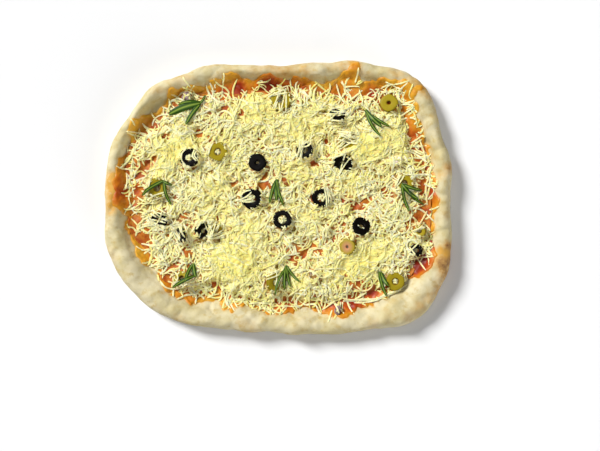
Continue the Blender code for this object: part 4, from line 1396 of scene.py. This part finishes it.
# Strands that stand out in the photograph: how many lie side by side, then the pixels that they pass
STRANDS = (
    (1, ((346, 104), (358.8, 93.3), (365, 88.7), (372.6, 89.8), (376, 95.6), (370, 101))),
    (1, ((341.6, 80.7), (345.6, 87), (358.8, 86.4), (359.4, 92), (362, 98), (362, 106))),
    (1, ((358, 68.6), (357, 75), (354.8, 83))),
    (1, ((336.4, 84), (340.5, 96.7), (344.5, 103))),
    (2, ((343, 301), (363, 300), (375, 299.5), (386, 295), (401, 289.5))),
    (1, ((352, 303), (366, 302.5), (380, 299.5))),
    (1, ((332, 310), (330, 316), (328, 322))),
    (1, ((322, 310), (328, 306), (335, 301))),
    (1, ((343, 302), (342.5, 307), (342.5, 312))),
    (1, ((248.7, 303.6), (258, 303), (268.2, 303.6))),
    (1, ((268, 309), (271, 311), (273, 314.5))),
    (1, ((432, 164.4), (426.2, 187.4), (427.4, 205))),
    (1, ((427.4, 211), (423, 219), (417.6, 227))),
    (1, ((126.4, 173), (127, 181), (125.8, 189.4))),
    (1, ((120.7, 168.2), (123.5, 165), (126.4, 163))),
    (1, ((183.5, 78), (186.5, 83), (191, 88))),
    (1, ((409, 247), (417, 258), (425, 270))),
    (1, ((410, 259), (420, 257), (433, 256))),
    (1, ((127, 132), (136, 132.5), (146, 134))),
    (1, ((142, 123), (147, 129), (153, 134.5))),
    (1, ((400, 105), (406, 104.4), (413, 106.5), (407, 112), (400.5, 116.5))),
    (1, ((400.5, 120), (409.5, 117.7), (416, 119.8))),
    (1, ((409.5, 127), (413, 125), (416.7, 122))),
    (1, ((412, 134.7), (414, 132), (416, 129))),
    (1, ((411.3, 143), (418, 138.8), (422, 135.5))),
    (1, ((420.4, 142), (423.7, 151), (425.4, 159.6))),
    (1, ((165, 274), (172, 271), (178, 276), (175, 285))),
    (1, ((160, 280), (166, 287), (175, 289), (185, 286))),
    (1, ((136, 246), (142, 250), (149, 249))),
    (1, ((356, 286), (364, 291), (372, 286), (371, 280))),
    (1, ((187, 149), (182.5, 154), (182.5, 161), (187, 166.5))),
    (2, ((196, 151), (194, 156), (197.5, 161))),
    (2, ((183, 164), (186.5, 168), (192, 168))),
    (1, ((190, 149), (196, 149), (200, 153))),
    (1, ((334, 303), (337, 308), (339, 314))),
    (1, ((341, 302), (340, 308), (344, 313))),
)


# Rosemary sprigs, as in the part's source: each needle is its foot, its tip and its width
ROSEMARY = (
    (
        ((-67.5, 81.0), (-95.0, 71.5), 5.2), ((-67.0, 81.5), (-87.0, 80.0), 2.6),
        ((-67.5, 80.5), (-80.0, 62.5), 3.2), ((-68.5, 80.0), (-63.5, 88.5), 1.8),
    ),
    (
        ((74.0, 75.5), (88.0, 60.5), 3.2), ((74.5, 74.5), (87.0, 52.5), 2.4),
        ((80.0, 70.5), (95.0, 61.0), 2.2),
    ),
    (
        ((-2.0, 15.5), (-8.0, -5.0), 2.6), ((-2.0, 15.0), (3.5, -4.5), 2.6),
        ((-1.5, 15.5), (-2.0, -3.0), 3.0), ((-1.0, 14.0), (4.5, -8.0), 1.8),
    ),
    (
        ((-98.5, 14.5), (-118.0, 1.5), 2.6), ((-98.5, 14.5), (-92.5, -6.5), 2.4),
        ((-99.5, 14.0), (-91.5, 10.5), 2.2),
    ),
    (
        ((105.0, 11.5), (123.5, 6.0), 2.4), ((105.5, 11.0), (120.0, -1.5), 3.0),
        ((105.0, 10.5), (112.0, -12.0), 2.4), ((106.0, 10.5), (125.0, -6.0), 2.0),
    ),
    (
        ((-73.5, -56.5), (-71.5, -68.5), 3.0), ((-74.0, -57.0), (-80.0, -72.5), 2.4),
        ((-71.5, -67.0), (-92.0, -78.0), 2.6),
    ),
    (
        ((6.5, -58.5), (10.0, -77.0), 2.2), ((6.5, -58.5), (18.0, -72.5), 2.0),
        ((6.0, -58.5), (5.0, -79.5), 2.4), ((6.0, -60.0), (-3.5, -85.0), 1.8),
    ),
    (((86.0, -63.5), (92.5, -85.0), 2.4), ((87.5, -64.0), (94.0, -76.0), 3.0)),
)


@dataclass
class Sprig:
    """A sprig of rosemary: narrow needles from one joint."""

    name: str
    needles: tuple
    ground: Ground
    stops: int = 22
    across: int = 16
    bend: float = 0.07
    thickness: float = 1.0
    half_width: float = 0.58
    feel: float = 1.2
    clearance: float = 0.45
    tip_lift: float = 0.8

    STIFFNESS = 40

    def needle(self, foot: tuple, tip: tuple, width: float, number: int) -> tuple[Array, Array]:
        """Shapes one needle.

        Its width swells quickly from the foot and tapers to a blunt tip. Across it, the upper face has a
        groove along the middle and its edges roll under.

        Args:
            foot: Where it starts.
            tip: Where it ends.
            width: Its greatest width.
            number: Which side it bends to.

        Returns:
            Points as (stops, corners, 3), and how far each lies from the middle line, from 0 to 1.
        """
        share = np.linspace(0.0, 1.0, self.stops)
        start, end = np.array(foot), np.array(tip)
        side = np.array([end[1] - start[1], start[0] - end[0]])
        bend = self.bend if number % 2 else 0.6 * self.bend
        line = start + (end - start) * share[:, None] + side * (bend * np.sin(math.pi * share))[:, None]
        swell = np.minimum(1.0, 0.5 + 2.2 * share) * np.sqrt(np.clip(1.0 - share**5, 0.0, 1.0)) + 0.06
        ahead = unit(np.gradient(line, axis=0))
        normal = np.stack([-ahead[:, 1], ahead[:, 0]], axis=-1)
        felt = [line + normal * aside for aside in (-self.feel, 0.0, self.feel)]
        rest = np.max([self.ground.at(*points.T) for points in felt], axis=0) + self.clearance
        z = rest.copy()
        for _ in range(self.STIFFNESS):
            z[1:-1] = np.maximum(rest[1:-1], 0.25 * (z[:-2] + 2.0 * z[1:-1] + z[2:]))
        z = z + self.tip_lift * share**2
        turn = 2.0 * math.pi * np.arange(self.across) / self.across
        flat, lift = np.cos(turn), np.sin(turn)
        groove = np.where(lift > 0.0, 0.5 * np.exp(-((flat / 0.3) ** 2)), 0.0)
        half = self.half_width * width * swell
        rise = 0.5 * self.thickness * (lift - groove * np.abs(lift) - 0.35 * flat**2)
        points = line[:, None, :] + normal[:, None, :] * (half[:, None] * flat[None, :])[..., None]
        heights = z[:, None] + rise[None, :] * np.minimum(1.0, half / 0.8)[:, None]
        far = np.repeat(np.abs(flat)[None, :], self.stops, axis=0)
        return np.concatenate([points, heights[..., None]], axis=-1), far

    def build(self, material: bpy.types.Material) -> bpy.types.Object:
        """Joins the needles of one sprig in one piece."""
        points, faces, far = [], [], []
        start = 0
        for number, (foot, tip, width) in enumerate(self.needles):
            shape, distance = self.needle(foot, tip, width, number)
            points.append(shape.reshape(-1, 3))
            far.append(distance.ravel())
            faces.append(tube_faces(self.stops, self.across) + start)
            start += len(points[-1])
        ends = self.end_faces(len(self.needles))
        return make_piece(
            self.name + "_sprig", np.concatenate(points), np.concatenate(faces + [ends]), material,
            {"across": np.concatenate(far)},
        )

    def end_faces(self, count: int) -> Array:
        """Closes both ends of each needle with four-sided faces between its two edges."""
        half = self.across // 2
        rows = []
        for number in range(count):
            for ring in (0, self.stops - 1):
                base = (number * self.stops + ring) * self.across
                for k in range(half - 1):
                    row = (base + k, base + k + 1, base + self.across - k - 2, base + self.across - k - 1)
                    rows.append(row if ring else row[::-1])
        return np.array(rows)


@dataclass
class SeafoodPiece:
    """A small piece of seafood, half hidden: a plump lozenge with soft lumps."""

    name: str
    seat: Seat
    columns: int = 40
    rows: int = 24

    def build(self, material: bpy.types.Material) -> bpy.types.Object:
        """Makes a closed lozenge: an ellipsoid that moves along its own direction by soft noise."""
        turn = around(self.columns)[:, None]
        rise = np.linspace(-0.5 * math.pi, 0.5 * math.pi, self.rows)[None, :]
        unit = np.stack([
            np.cos(turn) * np.cos(rise), np.sin(turn) * np.cos(rise), np.sin(rise) * np.ones_like(turn),
        ], axis=-1)
        flat = unit * self.seat.reach
        flat = flat * (1.0 + 0.07 * billow(flat, 4.0, 60))[..., None]
        points = flat @ self.seat.axes + self.seat.middle
        faces = turned_faces(self.columns, self.rows)
        return make_piece(self.name + "_flesh", points, faces, material, weld=True)


# The set


@dataclass
class Studio:
    """A white surface, a soft light from the upper left, weak ones to fill its shade, and the camera."""

    distance: float = 1190.0
    sensor: float = 36.0
    focus_height: float = 12.0
    far_clip: float = 20.0
    floor_reach: float = 3000.0
    floor_gap: float = 0.02
    key_from: tuple[float, float, float] = (-0.78, 0.625, 38.0)
    key_power: float = 4.6
    key_angle: float = 19.0
    overhead_from: tuple[float, float, float] = (-0.3, 0.2, 84.0)
    overhead_power: float = 0.64
    reflector_from: tuple[float, float, float] = (0.7, -0.7, 14.0)
    reflector_power: float = 1.65
    reflector_angle: float = 40.0
    fill: float = 0.045
    fill_colour: tuple[float, float, float, float] = (0.95, 0.98, 1.05, 1.0)

    def surface(self) -> None:
        """Makes the white surface."""
        signs = ((-1.0, -1.0), (1.0, -1.0), (1.0, 1.0), (-1.0, 1.0))
        corners = np.array([(x * self.floor_reach, y * self.floor_reach, -self.floor_gap) for x, y in signs])
        make_piece("studio_surface", corners, np.array([[0, 1, 2, 3]]), WhiteTable().make())

    def distant_light(
        self, name: str, source: tuple[float, float, float], power: float, angle: float
    ) -> None:
        """Adds a distant light.

        Args:
            name: The light's name.
            source: Where it comes from: X and Y of its direction, and its elevation in degrees.
            power: Its strength.
            angle: How wide it looks, in degrees, which softens its shadows.
        """
        light = bpy.data.objects.new(name, bpy.data.lights.new(name, "SUN"))
        light.data.energy = power
        light.data.angle = math.radians(angle)
        level = math.cos(math.radians(source[2])) / math.hypot(source[0], source[1])
        towards = Vector((source[0] * level, source[1] * level, math.sin(math.radians(source[2]))))
        light.rotation_euler = towards.to_track_quat("Z", "Y").to_euler()
        bpy.context.scene.collection.objects.link(light)

    def lights(self) -> None:
        """Adds the key, one light over the camera, a low reflector opposite the key and an even fill."""
        self.distant_light("key_light", self.key_from, self.key_power, self.key_angle)
        self.distant_light("overhead_light", self.overhead_from, self.overhead_power, self.key_angle)
        self.distant_light("reflector_light", self.reflector_from, self.reflector_power, self.reflector_angle)
        world = bpy.data.worlds.new("studio_fill")
        world.use_nodes = True
        background = world.node_tree.nodes["Background"]
        background.inputs["Color"].default_value = self.fill_colour
        background.inputs["Strength"].default_value = self.fill
        bpy.context.scene.world = world

    def camera(self) -> None:
        """Points the camera straight down, with the pizza where the photograph has it."""
        data = bpy.data.cameras.new("overhead_camera")
        data.sensor_width = self.sensor
        data.lens = self.sensor * self.distance / (PHOTO_WIDTH * PIXEL)
        data.clip_end = self.far_clip
        camera = bpy.data.objects.new("overhead_camera", data)
        x, y = at_pixel(PHOTO_WIDTH / 2.0, PHOTO_HEIGHT / 2.0)
        place = (x - MIDDLE[0], y - MIDDLE[1], self.distance + self.focus_height)
        camera.location = [value * MM for value in place]
        bpy.context.scene.collection.objects.link(camera)
        bpy.context.scene.camera = camera

    def view(self) -> None:
        """Keeps colours as they are, with no film look."""
        settings = bpy.context.scene.view_settings
        settings.view_transform = "Standard"
        settings.look = "None"
        settings.exposure = 0.0
        settings.gamma = 1.0


# Putting it together


@dataclass
class Pizza:
    """The whole pizza: makes its parts in order and gives each its place on the solids."""

    plan: Plan
    ground: Ground
    solids: dict[str, bpy.types.Object]

    FULL_HOLE = 4  # from so many shreds on, a hole counts as full
    HOLE_DEPTH = 1.5
    OVERHANG = 1.0
    COLLAR = 16
    # the lower shreds get a deeper tone than the upper ones: partly painted shade for the layer that lies
    # underneath
    LOWER = (3600, 9.0, 34.0, 1.5, (0.45, 0.2))  # places tried, shortest, longest, curl, tone
    UPPER = (4000, 9.0, 34.0, 1.6, (0.25, 0.2))
    SINK = (0.5, 0.85)  # how far packed cheese stays under the lower and the upper shreds
    PACKED_EDGE, PACKED_MOUND, PACKED_LUMP, PACKED_DROP = 12.0, 0.7, 0.25, 2.2
    LAID_WIDTH = (1.15, 1.5)

    def attach(self, piece: bpy.types.Object, slot: str, *nodes: str) -> None:
        """Ties a piece to the body and hides the solids that it stands for."""
        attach(piece, "root")
        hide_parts(*nodes)
        log.info("%s: %d faces", piece.name, len(piece.data.polygons))

    def __post_init__(self) -> None:
        """Starts the maps of bare places and of filled holes."""
        self.bare = np.zeros(self.ground.x.shape, bool)
        self.plugs = np.zeros(self.ground.x.shape)

    def base(self) -> None:
        """Makes the crust and the sauce, and starts the height map from them and the low cheese."""
        crust, sauce = Crust(self.plan), Sauce(self.plan)
        skin = crust.surface()
        self.attach(crust.build(sauce.inside(skin[0]), BakedDough().make(), skin[0]), "dough", "crust")
        self.attach(sauce.build(CookedSauce().make(), skin), "tomato_sauce", "tomato_sauce")
        ground = self.ground
        theta, radius = np.arctan2(ground.y, ground.x), np.hypot(ground.x, ground.y)
        ground.drape(skin[0][:, (skin[1] >= WIDEST) & (skin[1] <= FILLET)])
        height = np.where(ground.height > 0.0, ground.height, self.plan.crust_height(theta, radius))
        points = np.stack([ground.x, ground.y, height], axis=-1)
        height = height + sauce.thickness * smooth((sauce.inside(points) + sauce.LIP) / sauce.edge_width)
        mound = CheeseBedLayer(self.plan).top(ground.x, ground.y)
        height = np.where(radius < self.plan.heap(theta), np.maximum(height, mound), height)
        ground.height = np.where(radius < self.plan.rim(theta) - 1.0, height, 0.0)
        self.bare |= (sauce.inside(points) < -self.OVERHANG) & (radius > self.plan.heap(theta))

    def rings(self) -> list[tuple[OliveRing, Dressing]]:
        """Makes every olive ring and closes its footprint to the shreds.

        Returns:
            Each ring with how it lies in the cheese.
        """
        materials = {
            kind: CuredOlive(name=f"{kind.name.lower()}_olive_flesh", kind=kind).make() for kind in OliveKind
        }
        made = []
        for number, (name, dressing) in enumerate(SLICES.items()):
            ring = OliveRing(name, Seat.of(self.solids[name]), dressing.hole, number)
            slot = "black_olive" if dressing.kind is OliveKind.BLACK else "green_olive"
            self.attach(ring.build(materials[dressing.kind]), slot, name)
            mask, _ = ring.footprint(self.ground, -0.4)
            self.ground.closed |= mask
            made.append((ring, dressing))
        return made

    def seafood(self) -> None:
        """Makes the glimpses of seafood and raises the height map over them."""
        kinds = {
            "octopus_piece_01": (SeafoodKind.OCTOPUS, "octopus"),
            "octopus_piece_02": (SeafoodKind.OCTOPUS, "octopus"),
            "squid_piece_01": (SeafoodKind.SQUID, "squid"),
            "mussel_01": (SeafoodKind.MUSSEL, "mussel"),
        }
        ground = self.ground
        for name, (kind, slot) in kinds.items():
            seat = Seat.of(self.solids[name])
            piece = SeafoodPiece(name, seat)
            self.attach(piece.build(BoiledSeafood(name=name + "_finish", kind=kind).make()), slot, name)
            away = np.hypot(ground.x - seat.middle[0], ground.y - seat.middle[1]) / seat.reach[1]
            top = seat.middle[2] + seat.reach[2] * np.sqrt(np.clip(1.0 - away**2, 0.0, 1.0))
            ground.height = np.where(away < 1.0, np.maximum(ground.height, top), ground.height)
            self.bare |= away < 0.3
        ground.closed |= self.bare

    def cheese(self, rings: list[tuple[OliveRing, Dressing]]) -> None:
        """Lays the shreds: the lower ones, those in the holes, the upper ones and those over the rings."""
        material = GratedCheese().make()
        ground = self.ground
        shreds = Shreds(self.plan, ground)
        shreds.scatter(*self.LOWER)
        self.attach(shreds.build("grated_cheese_lower", material), "cheese", "grated_cheese")
        ground.height = np.maximum(ground.height, self.packed(self.SINK[0]))
        ground.closed = self.bare.copy()
        for ring, dressing in rings:
            hole = ring.hole_mask(ground)
            mask, height = ring.footprint(ground, 0.0)
            if dressing.filling >= self.FULL_HOLE:
                self.plugs = np.where(hole, height - self.HOLE_DEPTH, self.plugs)
                ground.height = np.where(hole, height - self.HOLE_DEPTH, ground.height)
            self.fill_hole(shreds, ring, dressing.filling)
            ground.height = np.where(mask & ~hole, np.maximum(ground.height, height), ground.height)
            ground.closed |= ring.footprint(ground, -dressing.lap)[0]
            self.collar(shreds, ring, dressing.lap)
        shreds.scatter(*self.UPPER)
        bed = CheeseBedLayer(self.plan)
        packed = self.packed(self.SINK[1])
        self.attach(bed.build(ground, packed, CheeseBed().make()), "cheese", "grated_cheese")
        ground.closed[:] = False
        for ring, dressing in rings:
            for group in dressing.groups:
                self.cross_ring(shreds, ring, *group)
        for count, pixels in STRANDS:
            self.named_strand(shreds, count, pixels)
        self.attach(shreds.build("grated_cheese_upper", material), "cheese", "grated_cheese")

    def packed(self, below: float) -> Array:
        """Gives how high cheese is packed between the shreds, which is lower at the windows and the edge.

        Args:
            below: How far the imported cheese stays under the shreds' average height.

        Returns:
            The height on the map's grid.
        """
        ground = self.ground
        theta, radius = np.arctan2(ground.y, ground.x), np.hypot(ground.x, ground.y)
        inside = smooth((self.plan.heap(theta) - radius) / self.PACKED_EDGE)
        open_share = np.clip(patches(ground.x, ground.y, WINDOWS), 0.0, 1.0)
        mound = np.clip(patches(ground.x, ground.y, MOUNDS), 0.0, 1.0)
        level = ground.softened(1.6) - below + self.PACKED_MOUND * mound
        level = level + self.PACKED_LUMP * flat_billow(ground.x, ground.y, 4.0, 51)
        level = level - self.PACKED_DROP * (1.0 - inside * (1.0 - open_share))
        return np.where(ground.closed, self.plugs, level)

    def fill_hole(self, shreds: Shreds, ring: OliveRing, count: int) -> None:
        """Lays short shreds side by side in a ring's hole, and across it."""
        reach = ring.seat.reach[0] * ring.hole
        draw = shreds.draw
        turn = draw.uniform(0.0, math.pi)
        for k in range(count):
            ahead, side = headed(turn + draw.normal(0.0, 0.3) + (0.5 * math.pi if k % 3 == 2 else 0.0))
            shift = reach * 1.3 * (k + 0.5 - 0.5 * count) / max(count, 1)
            length = 2.0 * math.sqrt(max(reach**2 - shift**2, 1.0)) * 0.9
            line = ring.seat.middle[:2] + ahead * shreds.share * length + side * shift
            shreds.lay(line, width=1.25, thick=0.7, tone=0.2, lift=0.1)

    def collar(self, shreds: Shreds, ring: OliveRing, lap: float) -> None:
        """Lays short shreds round a ring, close to its edge, so that it sits in the cheese.

        Args:
            shreds: The shreds.
            ring: The ring.
            lap: How far they may lie over its edge.
        """
        draw, radius, share = shreds.draw, ring.seat.reach[0], shreds.share
        for k in range(self.COLLAR):
            place = 2.0 * math.pi * (k + draw.uniform()) / self.COLLAR
            out, _ = headed(place)
            ahead, _ = headed(place + 0.5 * math.pi + draw.normal(0.0, 0.3 + 0.25 * lap))
            middle = ring.seat.middle[:2] + out * (radius + 1.6 - 0.7 * lap + draw.uniform(0.0, 1.5))
            bow = out * (1.0 - 4.0 * share**2) * draw.uniform(0.0, 1.2)
            line = shreds.clear_run(middle + ahead * share * draw.uniform(6.0, 11.0) + bow)
            if line is not None:
                width, thick = draw.uniform(1.15, 1.6), draw.uniform(*shreds.thickness)
                shreds.lay(line, width, thick, tone=0.25, stiff=3)

    def cross_ring(
        self, shreds: Shreds, ring: OliveRing, direction: float, aside: float, along: float,
        length: float, count: int,
    ) -> None:
        """Lays a group of shreds side by side over a ring.

        Args:
            shreds: The shreds.
            ring: The ring.
            direction: Which way they run, in degrees.
            aside: How far to the left of the ring's middle the group lies, in radii.
            along: How far along their direction, in radii.
            length: Their length, in radii.
            count: How many they are.
        """
        draw, radius, share = shreds.draw, ring.seat.reach[0], shreds.share
        for k in range(count):
            ahead, side = headed(math.radians(direction + draw.normal(0.0, 7.0)))
            reach = length * radius * draw.uniform(0.85, 1.2)
            shift = radius * (aside + 0.24 * (k - 0.5 * (count - 1)) + draw.normal(0.0, 0.03))
            bow = draw.normal(0.0, 0.7) * (1.0 - 4.0 * share**2)
            line = ring.seat.middle[:2] + ahead * (share * reach + along * radius) + side * (shift + bow)
            shreds.lay(line, draw.uniform(*self.LAID_WIDTH), thick=0.75, tone=0.1, stiff=10)

    def named_strand(self, shreds: Shreds, count: int, pixels: tuple[tuple[float, float], ...]) -> None:
        """Lays strands along a smooth curve through pixels of the photograph, side by side."""
        stations = np.array([at_pixel(*pixel) for pixel in pixels])
        line = curve_through(stations, np.linspace(0.0, len(pixels) - 1.0, shreds.points))
        side = unit(np.gradient(line, axis=0)[:, ::-1] * np.array([-1.0, 1.0]))
        for k in range(count):
            shift = 1.3 * (k - 0.5 * (count - 1)) + shreds.draw.normal(0.0, 0.15)
            shreds.lay(line + side * shift, width=1.4, thick=0.85, tone=0.12, stiff=10)

    def herbs(self) -> None:
        """Lays the rosemary on top of everything."""
        material = RosemaryLeaf().make()
        for number, needles in enumerate(ROSEMARY, 1):
            name = f"rosemary_{number:02d}"
            self.attach(Sprig(name, needles, self.ground).build(material), "rosemary", name)


def main() -> None:
    """Builds the pizza round its solids, then the set."""
    logging.basicConfig(level=logging.INFO, format="%(message)s")
    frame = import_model()
    pizza = Pizza(Plan(), Ground(), frame["nodes"])
    pizza.base()
    pizza.seafood()
    rings = pizza.rings()
    pizza.cheese(rings)
    pizza.herbs()
    studio = Studio()
    studio.surface()
    studio.lights()
    studio.camera()
    studio.view()


if __name__ == "__main__":
    main()
